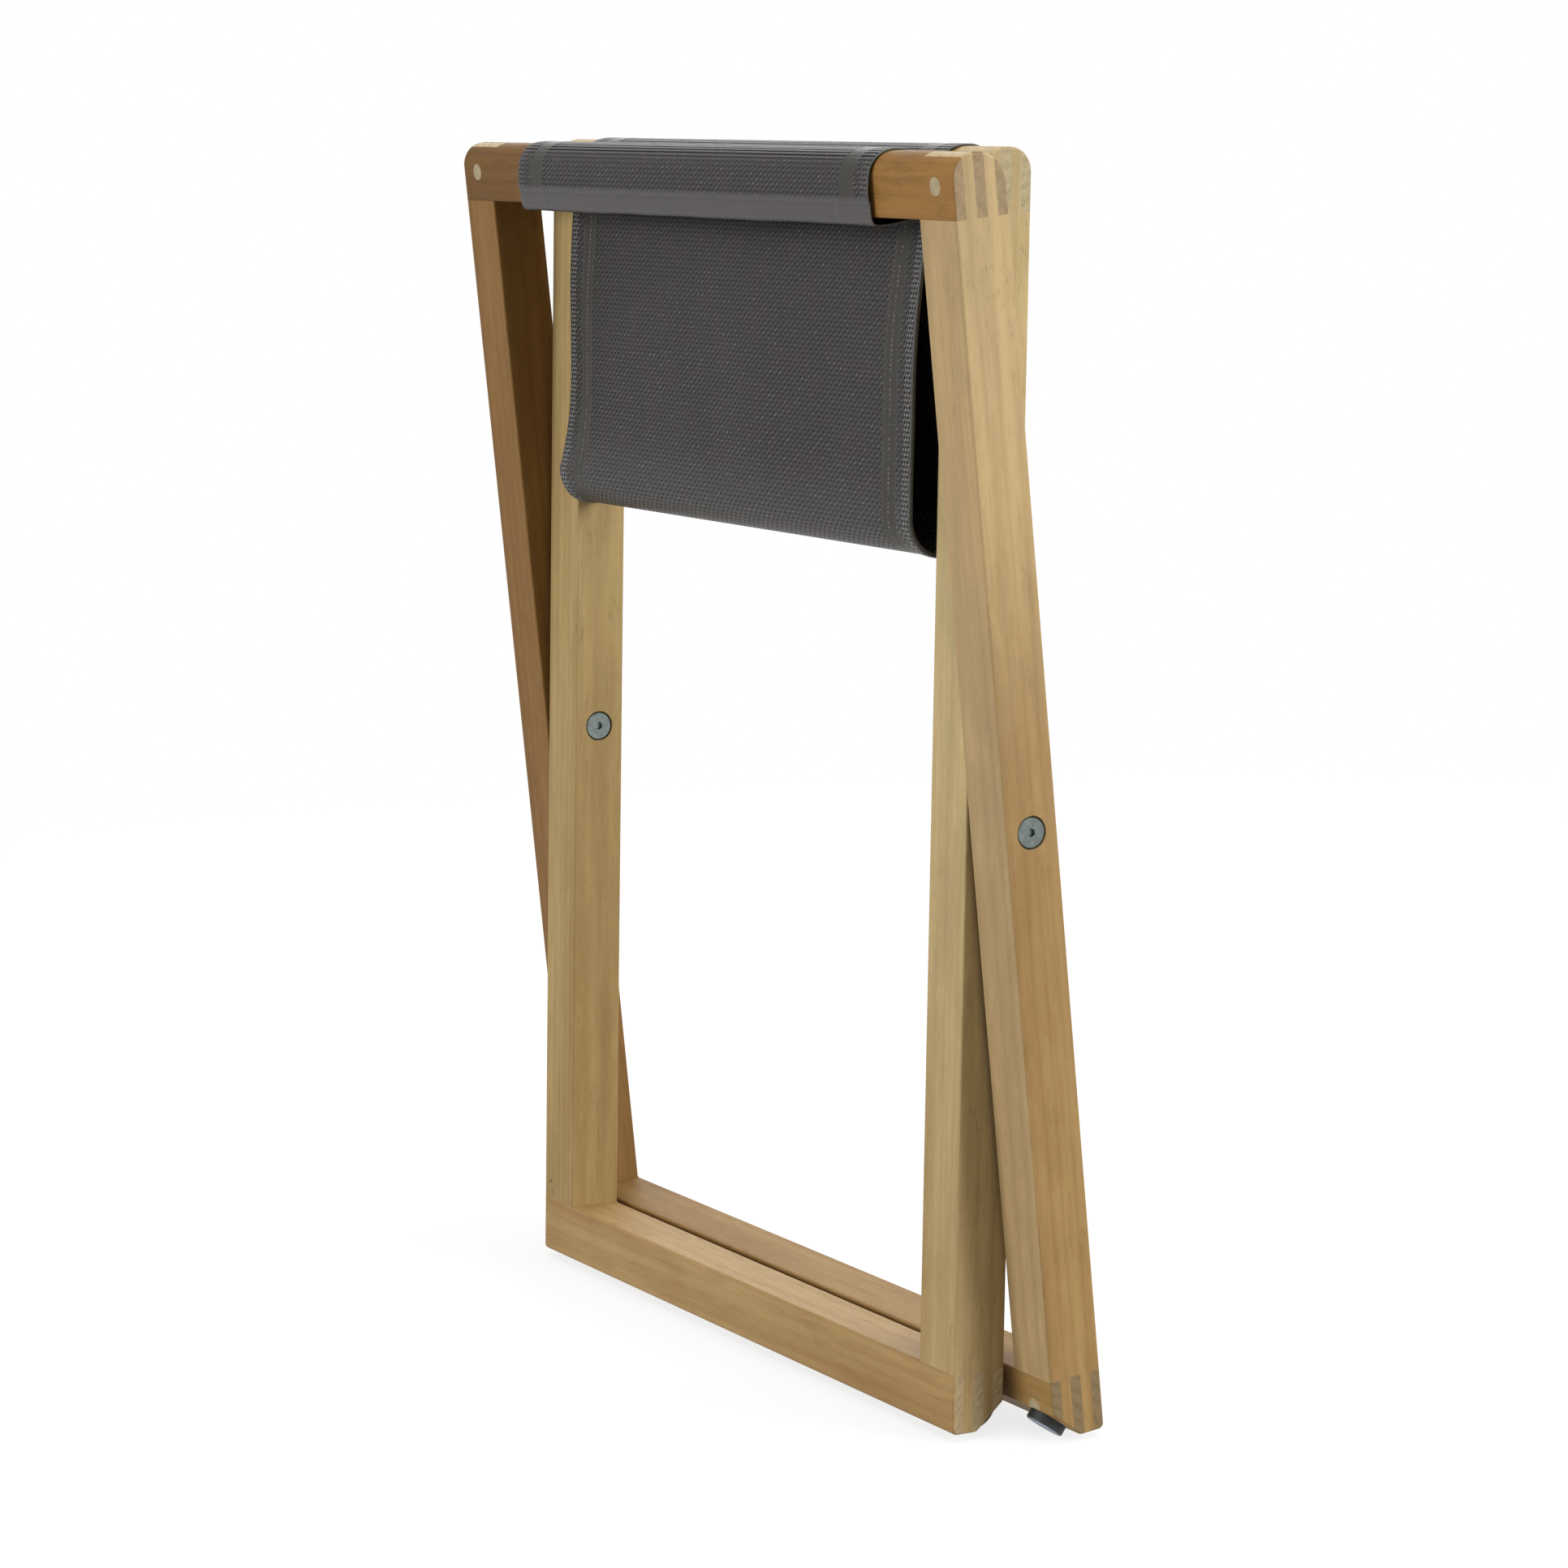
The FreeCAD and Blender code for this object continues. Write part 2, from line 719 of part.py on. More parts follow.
def loop_points():
    """The middle line of the loop's front half, from the rail to the mid-plane."""
    rail_edge = FreeCAD.Vector(size(REAR) + COVER, size(TOP_JOINT), 0)
    turn = FreeCAD.Rotation(ALONG_Z, size("half_fold"))
    edge = turn.multVec(rail_edge)
    radius = size("loop_radius")
    lean_top = math.radians(size("loop_lean_top"))
    lean_low = math.radians(size("loop_lean_low"))
    centre = size("loop_bottom") + radius
    bend_y = -radius * math.cos(lean_low)
    bend_z = centre + radius * math.sin(lean_low)
    across = edge.x - bend_y
    down = edge.y - bend_z
    upper = (across - down * math.tan(lean_low)) / (
        math.sin(lean_top) - math.cos(lean_top) * math.tan(lean_low)
    )
    knee_y = edge.x - upper * math.sin(lean_top)
    knee_z = edge.y - upper * math.cos(lean_top)
    points = [rail_edge, to_frame(knee_y, knee_z)]
    step = (math.pi / 2 + lean_low) / 3
    reach = radius / math.cos(step / 2)
    for number in range(3):
        angle = math.pi - lean_low + (number + 0.5) * step
        points.append(to_frame(reach * math.cos(angle), centre + reach * math.sin(angle)))
    points.append(to_frame(0, size("loop_bottom")))
    return points


LOOP = loop_points()
STRIP_BEND = math.radians((90 + size("loop_lean_low")) / 3)
SHORTENING = size("strip_gap") / 2 + size("cloth_thickness") / 2 * math.tan(STRIP_BEND / 2)
BAND = "sling_width / (2 * tongue_count)"


def ribbon(points):
    """Corners of a band of cloth of even thickness along a line of points."""
    half = size("cloth_thickness") / 2
    left = []
    right = []
    for i, point in enumerate(points):
        before = (point - points[i - 1]).normalize() if i > 0 else None
        after = (points[i + 1] - point).normalize() if i + 1 < len(points) else None
        heading = (before or after) + (after or before)
        heading.normalize()
        across = FreeCAD.Vector(-heading.y, heading.x, 0)
        reach = half / across.dot(FreeCAD.Vector(-(after or before).y, (after or before).x, 0))
        left.append(point + across * reach)
        right.append(point - across * reach)
    return left + right[::-1]


def add_polygon(sketch, corners):
    for i, corner in enumerate(corners):
        sketch.addGeometry(Part.LineSegment(corner, corners[(i + 1) % len(corners)]))


def make_lip(which, label):
    body = new_body(label)
    sketch = new_sketch(body, "YZ_Plane")
    low_end = LOOP[0] + FreeCAD.Vector(0, SHORTENING, 0)
    add_polygon(sketch, ribbon(lip_points() + [low_end]))
    pad(body, sketch, "sling_width", both_ways=True)
    keep(body, label, frame_placement(which))


def make_panel(which, label):
    """The straight part of the loop, as wide as the sling, ending in tongues."""
    body = new_body(label)
    leaving = (LOOP[1] - LOOP[0]).normalize()
    downwards = (LOOP[2] - LOOP[1]).normalize()
    full_end = LOOP[2] - downwards * size("tongue_length")
    sketch = new_sketch(body, "YZ_Plane")
    add_polygon(sketch, ribbon([LOOP[0] + leaving * SHORTENING, LOOP[1], full_end]))
    pad(body, sketch, "sling_width", both_ways=True)
    for band in range(int(size("tongue_count"))):
        start = "%d * %s - sling_width / 2 + tongue_clearance / 2" % (2 * band, BAND)
        tongue = new_sketch(body, "YZ_Plane", start)
        end = LOOP[2] - downwards * SHORTENING
        add_polygon(tongue, ribbon([full_end - downwards, end]))
        pad(body, tongue, BAND + " - tongue_clearance")
    keep(body, label, frame_placement(which))


def make_fold_strip(which, number, label):
    """One strip of the bend, a flat slip of cloth in every second band."""
    start = LOOP[number + 1]
    end = LOOP[number + 2]
    along = (end - start).normalize()
    angle = math.degrees(math.atan2(along.y, along.x))
    joints = 1 if number == 3 else 2
    length = (end - start).Length - SHORTENING * joints
    slips = []
    for band in range(int(size("tongue_count"))):
        slip = doc.addObject("Part::Box", "%s_slip_%d" % (label, band))
        bind(slip, "Length", BAND + " - tongue_clearance")
        slip.Width = length
        bind(slip, "Height", "cloth_thickness")
        x = size("%d * %s - sling_width / 2 + tongue_clearance / 2" % (2 * band, BAND))
        place = FreeCAD.Placement(
            FreeCAD.Vector(x, start.x, start.y), FreeCAD.Rotation(ALONG_X, angle)
        )
        inset = FreeCAD.Vector(0, SHORTENING, -size("cloth_thickness") / 2)
        slip.Placement = place.multiply(FreeCAD.Placement(inset, FreeCAD.Rotation()))
        slips.append(slip)
    keep(fuse(label + "_slips", slips), label, frame_placement(which))


# The half turn of the inner frame swaps its left and right sides

LEFT_SIDE = {"outer": -1, "inner": 1}

for which, half_name in (("outer", "front"), ("inner", "rear")):
    for side_name, side in (("left", LEFT_SIDE[which]), ("right", -LEFT_SIDE[which])):
        make_leg(which, side, "%s_leg_%s" % (which, side_name))
        make_glide(which, side, "%s_glide_%s" % (which, side_name))
    make_rail(which, True, which + "_top_rail")
    make_rail(which, False, which + "_bottom_rail")
    make_dowels(which, which + "_dowels")
    make_soles(which, which + "_glide_soles")
    make_nails(which, which + "_glide_nails")
    make_sleeve(which, half_name + "_pocket")
    make_seam(which, half_name + "_pocket_seam")
    make_lip(which, half_name + "_lip")
    make_panel(which, half_name + "_panel")
    for number in (1, 2, 3):
        make_fold_strip(which, number, "%s_fold_%d" % (half_name, number))

for side, side_name in ((-1, "left"), (1, "right")):
    make_bolt(side, "pivot_bolt_" + side_name)
    make_nut(side, "sleeve_nut_" + side_name)
    make_washer(side, "pivot_washer_" + side_name)

doc.recompute()

for item in doc.Objects:
    if "Invalid" in item.State or "Error" in item.State:
        raise RuntimeError(item.Name + " does not recompute")

os.makedirs("parts", exist_ok=True)
for part in subparts:
    if part.Shape.isNull() or not part.Shape.isValid():
        raise RuntimeError(part.Label + " has no valid shape")
    part.Shape.exportStep("parts/%s.step" % part.Label)
    box = part.Shape.BoundBox
    print(part.Label, len(part.Shape.Solids), round(part.Shape.Volume, 1), box)
print("pivot height", PIVOT_HEIGHT)
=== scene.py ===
import math

import bmesh
import bpy
from mathutils import Matrix, Vector, noise


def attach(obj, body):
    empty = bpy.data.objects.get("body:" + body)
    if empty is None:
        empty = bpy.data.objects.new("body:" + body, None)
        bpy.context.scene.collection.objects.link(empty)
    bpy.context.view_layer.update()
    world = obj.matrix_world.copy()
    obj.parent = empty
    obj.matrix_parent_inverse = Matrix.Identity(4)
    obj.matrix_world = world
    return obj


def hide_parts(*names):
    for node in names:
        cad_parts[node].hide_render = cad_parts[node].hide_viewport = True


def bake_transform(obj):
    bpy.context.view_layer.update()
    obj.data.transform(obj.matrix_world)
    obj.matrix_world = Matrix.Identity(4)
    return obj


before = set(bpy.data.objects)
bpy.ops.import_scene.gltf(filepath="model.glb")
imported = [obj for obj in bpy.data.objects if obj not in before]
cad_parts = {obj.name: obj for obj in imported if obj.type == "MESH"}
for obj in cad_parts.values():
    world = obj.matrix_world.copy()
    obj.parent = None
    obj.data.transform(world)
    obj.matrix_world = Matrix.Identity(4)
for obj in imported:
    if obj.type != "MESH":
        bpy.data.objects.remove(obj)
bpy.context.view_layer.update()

# Folding teak stool with a mesh sling. Places are in metres, in the stool's own frame,
# and the shapes of the cloth are worked out in millimetres.

MM = 0.001
PIVOT_HEIGHT = 310.717
LEAN = math.radians(3.5)


def limited(value):
    return min(1.0, max(0.0, value))


def object_from(mesh, name):
    """Turns a finished bmesh into an object of the scene."""
    data = bpy.data.meshes.new(name)
    mesh.to_mesh(data)
    mesh.free()
    made = bpy.data.objects.new(name, data)
    bpy.context.scene.collection.objects.link(made)
    return made


# Small helpers for the materials


class Graph:
    """The nodes of a material or of the world, made with short calls."""

    def __init__(self, holder, output="ShaderNodeOutputMaterial"):
        self.holder = holder
        holder.use_nodes = True
        self.tree = holder.node_tree
        self.tree.nodes.clear()
        self.out = self.node(output)

    def join(self, value, socket):
        """Links an output to the socket, or writes a constant on it."""
        if isinstance(value, bpy.types.NodeSocket):
            self.tree.links.new(value, socket)
        elif socket.type == "RGBA" and len(value) == 3:
            socket.default_value = (*value, 1)
        else:
            socket.default_value = value

    def node(self, kind, settings=(), **inputs):
        made = self.tree.nodes.new(kind)
        for key, value in dict(settings).items():
            setattr(made, key, value)
        found = {name.lower(): i for i, name in reversed(list(enumerate(made.inputs.keys())))}
        for key, value in inputs.items():
            self.join(value, made.inputs[found[key.replace("_", " ").lower()]])
        return made

    def calc(self, operation, *values, clamp=False):
        made = self.node("ShaderNodeMath", {"operation": operation, "use_clamp": clamp})
        for socket, value in zip(made.inputs, values):
            self.join(value, socket)
        return made.outputs[0]

    def times(self, first, *others):
        product = first
        for value in others:
            product = self.calc("MULTIPLY", product, value)
        return product

    def rest_of(self, value):
        """What is missing to 1."""
        return self.calc("SUBTRACT", 1.0, value)

    def from_middle(self, value):
        """How far a value is from the middle between two whole numbers."""
        return self.calc("ABSOLUTE", self.calc("SUBTRACT", self.calc("FRACT", value), 0.5))

    def remap(self, value, low, high, to_low=0.0, to_high=1.0, smooth=True):
        made = self.node(
            "ShaderNodeMapRange",
            {"interpolation_type": "SMOOTHSTEP" if smooth else "LINEAR", "clamp": True},
            Value=value, From_Min=low, From_Max=high, To_Min=to_low, To_Max=to_high,
        )
        return made.outputs["Result"]

    def mix(self, share, first, second):
        made = self.node("ShaderNodeMix", {"data_type": "RGBA"})
        for index, value in ((0, share), (6, first), (7, second)):
            self.join(value, made.inputs[index])
        return made.outputs[2]

    def noise(self, vector, scale, detail=2.0, roughness=0.5):
        made = self.node("ShaderNodeTexNoise", Vector=vector, Scale=scale, Detail=detail,
                         Roughness=roughness)
        return made.outputs[0]

    def mapping(self, vector, location=(0, 0, 0), rotation=(0, 0, 0), scale=(1, 1, 1)):
        made = self.node("ShaderNodeMapping", {"vector_type": "POINT"}, Vector=vector,
                         Location=location, Rotation=rotation, Scale=scale)
        return made.outputs[0]

    def turned(self, vector, rotation):
        """A direction turned with the piece."""
        made = self.node("ShaderNodeMapping", {"vector_type": "VECTOR"}, Vector=vector,
                         Rotation=rotation)
        return made.outputs[0]

    def split(self, vector):
        made = self.node("ShaderNodeSeparateXYZ", Vector=vector)
        return made.outputs["X"], made.outputs["Y"], made.outputs["Z"]

    def distance(self, vector, place):
        made = self.node("ShaderNodeVectorMath", {"operation": "DISTANCE"})
        self.join(vector, made.inputs[0])
        self.join(place, made.inputs[1])
        return made.outputs["Value"]

    def attribute(self, name):
        return self.node("ShaderNodeAttribute", {"attribute_name": name}).outputs["Fac"]

    def bump(self, height, distance, strength):
        made = self.node("ShaderNodeBump", Height=height, Distance=distance, Strength=strength)
        return made.outputs[0]

    def blend_shaders(self, share, first, second):
        made = self.node("ShaderNodeMixShader")
        for socket, value in zip(made.inputs, (share, first, second)):
            self.join(value, socket)
        return made.outputs[0]

    def surface(self, **inputs):
        shader = self.node("ShaderNodeBsdfPrincipled", **inputs)
        return self.finish(shader.outputs[0])

    def finish(self, shader):
        self.tree.links.new(shader, self.out.inputs["Surface"])
        return self.holder


def material_graph(name):
    return Graph(bpy.data.materials.new(name))


def shade(colour, factor):
    return tuple(min(1.0, part * factor) for part in colour)


def tinted(colour, factors):
    return tuple(part * factor for part, factor in zip(colour, factors))


# Teak

PALE_TINT = (1.14, 1.17, 1.22)
DEEP_TINT = (0.86, 0.81, 0.74)
DARK_TINT = (0.60, 0.49, 0.38)
PORE_TINT = (0.36, 0.26, 0.18)
FAR_SHADES = (1.14, 0.83, 0.62)
FRONT_LIGHT_SHADES = (1.14, 0.83, 0.60)
KNOT = (0.07, 0.035, 0.014)


def drawn_out(g, grain, along, scale, detail, roughness):
    """Noise that is drawn out along the grain."""
    return g.noise(g.mapping(grain, scale=(1, 1, along)), scale, detail, roughness)


def growth_rings(g, grain, spacing):
    wave = g.node(
        "ShaderNodeTexWave",
        {"wave_type": "RINGS", "rings_direction": "Z", "wave_profile": "SIN"},
        Vector=g.mapping(grain, scale=(1, 1, 0.05)),
        Scale=0.314159 / spacing,
        Distortion=5.5,
        Detail=3.0,
        Detail_Scale=0.9,
        Detail_Roughness=0.6,
    )
    return wave.outputs["Fac"]


def towards(g, share, tones, colour, shades):
    """Moves the pale, the deep and the dark tone of a wood towards another colour."""
    return [g.mix(share, tone, shade(colour, factor)) for tone, factor in zip(tones, shades)]


def teak_end(g, grain, rings, colour):
    """Sawn end grain: scratches aslant, dark dust in the pores and the rings cut across."""
    aslant = g.mapping(g.mapping(grain, rotation=(0, 0, 0.7)), scale=(0.22, 1, 1))
    scar = g.noise(aslant, 900.0, 4.0, 0.65)
    dust = g.noise(grain, 2600.0, 2.0, 0.6)
    base = g.mix(g.remap(scar, 0.42, 0.72), colour, shade(colour, 0.70))
    base = g.mix(g.remap(dust, 0.52, 0.75, 0.0, 0.35), base, shade(colour, 0.5))
    return g.mix(g.times(g.calc("POWER", rings, 2.0), 0.3), base, shade(colour, 0.55))


def teak(name, colour, end_colour, along="Z", lean=0.0, pith=(0.07, 0.05), seed=0.0,
         ring=0.0062, streak=0.5, mottle=0.4, knots=(), far_colour=None, reach=(0.22, 0.61),
         painted_front_light=None):
    """Oiled teak: bands and fibres along the piece, open pores, ends in a tone of their own.

    The far colour takes over between the two places of reach along the piece. The front face is
    painted in a tone of its own, as painted light, for the light on it that differs from that on the
    sides. A knot is a place, a radius and a strength.
    """
    g = material_graph(name)
    coords = g.node("ShaderNodeTexCoord")
    turn = (-lean, math.radians(-90) if along == "X" else 0.0, 0.0)
    grain = g.mapping(coords.outputs["Object"], (pith[0], pith[1], seed), turn)
    _, facing_y, facing_z = g.split(g.turned(coords.outputs["Normal"], turn))
    rings = growth_rings(g, grain, ring)
    broad = drawn_out(g, grain, 0.10, 34.0, 3.0, 0.6)
    bands = drawn_out(g, grain, 0.045, 150.0, 3.0, 0.6)
    fibre = drawn_out(g, grain, 0.05, 1300.0, 3.0, 0.65)
    pore_field = drawn_out(g, grain, 0.10, 1500.0, 2.0, 0.55)
    cloud = drawn_out(g, grain, 0.35, 95.0, 5.0, 0.66)
    pores = g.times(g.remap(pore_field, 0.60, 0.70), g.remap(cloud, 0.42, 0.66))
    late_strength = g.remap(broad, 0.35, 0.70, 0.15 * streak, 0.8 * streak, smooth=False)
    late_wood = g.times(g.calc("POWER", rings, 3.0), late_strength)

    tones = [tinted(colour, tint) for tint in (PALE_TINT, DEEP_TINT, DARK_TINT)]
    if far_colour:
        _, _, place_along = g.split(grain)
        far_share = g.remap(place_along, reach[0] + seed, reach[1] + seed)
        tones = towards(g, far_share, tones, far_colour, FAR_SHADES)
    # Painted light: the front face gets a tone of its own for the light that falls on it.
    if painted_front_light:
        painted_front_share = g.remap(facing_y, -0.5, -0.9)
        tones = towards(g, painted_front_share, tones, painted_front_light, FRONT_LIGHT_SHADES)
    pale, deep, dark = tones

    base = g.mix(g.remap(broad, 0.32, 0.68), pale, deep)
    base = g.mix(g.remap(bands, 0.44, 0.66, 0.0, 0.55), base, deep)
    base = g.mix(g.remap(cloud, 0.50, 0.70, 0.0, 0.55 * mottle), base, dark)
    base = g.mix(g.remap(cloud, 0.47, 0.32, 0.0, mottle), base, pale)
    base = g.mix(late_wood, base, dark)
    base = g.mix(g.remap(fibre, 0.40, 0.70, 0.0, 0.20), base, dark)
    base = g.mix(g.times(pores, 0.5), base, tinted(colour, PORE_TINT))
    for *place, radius, strength in knots:
        spot = g.remap(g.distance(coords.outputs["Object"], place), radius, radius * 0.25)
        base = g.mix(g.times(spot, strength), base, KNOT)
    on_end = g.remap(g.calc("ABSOLUTE", facing_z), 0.72, 0.93)
    base = g.mix(on_end, base, teak_end(g, grain, rings, end_colour))
    rough = g.remap(fibre, 0.3, 0.7, 0.52, 0.68, smooth=False)
    relief = g.calc("SUBTRACT", g.times(fibre, 0.35), pores)
    normal = g.bump(relief, 0.00010, 0.6)
    return g.surface(Base_Color=base, Roughness=rough, Normal=normal, Specular_IOR_Level=0.22)


# Dowels, metal and plastic


def dowel_wood(name, colour):
    """The ends of the dowels, cut flush: pale end grain with small dark pores."""
    g = material_graph(name)
    coords = g.node("ShaderNodeTexCoord").outputs["Object"]
    speck = g.noise(coords, 1500.0, 2.0, 0.6)
    cloud = g.noise(coords, 300.0, 2.0, 0.5)
    tone = g.mix(g.remap(cloud, 0.35, 0.65), colour, shade(colour, 0.86))
    tone = g.mix(g.remap(speck, 0.58, 0.75, 0.0, 0.35), tone, shade(colour, 0.55))
    normal = g.bump(speck, 0.00008, 0.5)
    return g.surface(Base_Color=tone, Roughness=0.62, Normal=normal, Specular_IOR_Level=0.3)


def metal(name, colour, roughness, grain_scale):
    """Plain metal with fine scratches and a cloudy tone."""
    g = material_graph(name)
    coords = g.node("ShaderNodeTexCoord").outputs["Object"]
    scratch = g.noise(g.mapping(coords, scale=(0.2, 1, 1)), grain_scale, 3.0, 0.6)
    cloud = g.noise(coords, 240.0, 2.0, 0.5)
    tone = g.mix(g.remap(cloud, 0.3, 0.7), colour, shade(colour, 0.72))
    rough = g.remap(scratch, 0.3, 0.7, roughness, roughness + 0.16, smooth=False)
    normal = g.bump(scratch, 0.00004, 0.5)
    return g.surface(Base_Color=tone, Metallic=0.9, Roughness=rough, Normal=normal)


def plastic(name, colour, roughness, grain_scale, depth):
    """Moulded plastic with a fine grain and some pale dust."""
    g = material_graph(name)
    coords = g.node("ShaderNodeTexCoord").outputs["Object"]
    grain = g.noise(coords, grain_scale, 3.0, 0.6)
    dust = g.noise(coords, 160.0, 3.0, 0.55)
    tone = g.mix(g.remap(dust, 0.45, 0.75, 0.0, 0.6), colour, shade(colour, 1.9))
    rough = g.remap(grain, 0.3, 0.7, roughness - 0.06, roughness + 0.10, smooth=False)
    normal = g.bump(grain, depth, 0.6)
    return g.surface(Base_Color=tone, Roughness=rough, Normal=normal)


# The woven mesh of the sling: spacing of its strands across and of its rows down the cloth

YARN_X = 2.33 * MM
YARN_S = 2.41 * MM

# How many strands the holes move over from row to row, and how many the strokes of painted highlight
# lean in a row. The first value is for the cloth over the rail, the second for the panel.

ROW_SHIFT = (0.43, -0.70)
HIGHLIGHT_LEAN = (-1.57, 1.30)

# How high the bottom of a closed hole lies, with 1 for the top of a strand

SHALLOW_HOLE = 0.44

# Half the cloth's width. The hem and the flat weld in it are measured from the side edge.

HALF_CLOTH = 180.0
HEM = 30.0
WELD_FROM = 14.0
WELD_TO = 27.0

# Tones of the yarn and of what lies on it, with the painted light on it: a painted sheen near the
# bend, painted shade in the hollows, the furrows and the holes, and painted highlights as strokes,
# glints and ridges. The fold at the edge has one over the rail and one on the panel.

WARM_YARN = (0.0176, 0.0122, 0.0117)
COOL_YARN = (0.0105, 0.0125, 0.0106)
BEND_SHEEN = (0.105, 0.102, 0.100)
HOLLOW_SHADE = (0.013, 0.012, 0.011)
STROKE_HIGHLIGHT = (0.115, 0.108, 0.106)
BRIGHT_GLINT = (0.24, 0.23, 0.225)
EDGE_DOT = (0.44, 0.44, 0.43)
CROWN_SHADE = (0.010, 0.0095, 0.009)
CROWN_HIGHLIGHT = (0.17, 0.165, 0.16)
HOLE_SHADE = (0.032, 0.028, 0.0265)
EDGE_FOLD = ((0.105, 0.110, 0.100), (0.060, 0.058, 0.049))

# The pale and the dark tone of the streaks in a weld, along the hem and across the cloth

HEM_WELD = ((0.030, 0.026, 0.021), (0.017, 0.015, 0.011))
CROSS_WELD = ((0.112, 0.100, 0.100), (0.038, 0.034, 0.034))

# Pale threads in the hem: distance from the edge, half width, strength

HEM_THREAD = (0.26, 0.24, 0.165)
HEM_THREADS = ((20.6, 0.34, 0.85), (25.6, 0.24, 0.45), (15.2, 0.2, 0.25))


def round_strand(g, place, half_width):
    """The height of a round strand at a place beside its middle line."""
    share = g.calc("POWER", g.calc("DIVIDE", place, half_width), 2.0)
    return g.calc("SQRT", g.calc("SUBTRACT", 1.0, share, clamp=True))


class Weave:
    """The lattice of strands and holes.

    Places in a row and in a column are 0 on the middle of a strand and 0.5 at a hole.
    Each row moves over a little, and every second hole is full.
    """

    def __init__(self, g, across, down, on_panel):
        strand = g.calc("DIVIDE", across, YARN_X)
        self.row = g.calc("DIVIDE", down, YARN_S)
        row_number = g.calc("FLOOR", g.calc("ADD", self.row, 0.5))
        row_shift = g.remap(on_panel, 0.45, 0.55, *ROW_SHIFT)
        column = g.calc("MULTIPLY_ADD", row_number, row_shift, strand)
        hole_number = g.calc("FLOOR", g.calc("ADD", column, 0.5))
        self.full_hole = g.calc("LESS_THAN", g.calc("FLOORED_MODULO", hole_number, 2.0), 0.5)
        lean = g.remap(on_panel, 0.45, 0.55, *HIGHLIGHT_LEAN)
        diagonal = g.calc("MULTIPLY_ADD", self.row, lean, strand)
        self.from_highlight = g.from_middle(g.times(diagonal, 0.5))
        self.in_column = g.from_middle(column)
        self.in_row = g.from_middle(self.row)
        warp = round_strand(g, self.in_column, 0.34)
        warp = g.times(warp, g.calc("MULTIPLY_ADD", self.in_row, 0.35, 0.75))
        weft = g.times(round_strand(g, self.in_row, 0.36), 0.68)
        shallow = g.calc("MULTIPLY_ADD", self.full_hole, -SHALLOW_HOLE, SHALLOW_HOLE)
        self.height = g.calc("MAXIMUM", g.calc("MAXIMUM", warp, weft), shallow)
        self.on_top = g.calc("GREATER_THAN", warp, weft)


def yarn_tone(g, uv, weave, speck, from_rail):
    """The yarn: two tones in patches, a painted sheen near the bend, painted highlights as pale
    strokes on slanting lines with brighter painted glints among them, and painted shade in the
    hollows.
    """
    blotch = g.noise(uv, 55.0, 3.0, 0.6)
    yarn = g.mix(g.remap(blotch, 0.42, 0.58), WARM_YARN, COOL_YARN)
    # Painted sheen: the yarn is painted paler towards the bend, for the light it catches there.
    painted_bend_sheen = g.remap(from_rail, (AT_BEND - 30) * MM, (AT_BEND + 12) * MM, 0.0, 0.32)
    yarn = g.mix(painted_bend_sheen, yarn, BEND_SHEEN)
    yarn = g.mix(g.remap(speck, 0.35, 0.7, 0.0, 0.35), yarn, shade(WARM_YARN, 0.5))
    # Painted highlights: pale strokes on the strand tops along slanting lines, some brighter as
    # painted glints.
    highlight_stroke = g.times(g.remap(weave.in_row, 0.46, 0.26), g.remap(weave.from_highlight, 0.17, 0.04))
    yarn = g.mix(g.times(highlight_stroke, 0.50), yarn, STROKE_HIGHLIGHT)
    painted_glint = g.remap(g.noise(uv, 420.0, 1.0, 0.5), 0.56, 0.70)
    yarn = g.mix(g.times(highlight_stroke, painted_glint, 0.6), yarn, BRIGHT_GLINT)
    # Painted shade in the low hollows of the weave.
    return g.mix(g.remap(weave.height, 0.50, 0.12, 0.0, 0.8), yarn, HOLLOW_SHADE)


def edge_dots(g, weave, edge_mm, on_panel):
    """Pale dots on the tops of the strands in a strip near the side edge, fainter over the rail."""
    middle = g.times(weave.on_top, g.remap(weave.in_column, 0.24, 0.06))
    dot = g.times(middle, g.remap(weave.in_row, 0.36, 0.12))
    strip = g.times(g.remap(edge_mm, 8.2, 6.4), g.remap(edge_mm, 1.2, 1.9))
    return g.times(strip, g.calc("MULTIPLY_ADD", on_panel, 0.6, 0.4), dot)


def with_threads(g, yarn, uv, weave, edge_mm, on_panel):
    """The broken pale threads that show in the hem of the panel."""
    dash = g.calc("GREATER_THAN", g.calc("FRACT", weave.row), 0.5)
    dash = g.times(dash, g.remap(g.noise(uv, 260.0, 1.0, 0.5), 0.36, 0.60), on_panel)
    for line, half_width, strength in HEM_THREADS:
        away = g.calc("ABSOLUTE", g.calc("SUBTRACT", edge_mm, line))
        thread = g.remap(away, half_width * 1.5, half_width * 0.6)
        yarn = g.mix(g.times(thread, dash, strength), yarn, HEM_THREAD)
    return yarn


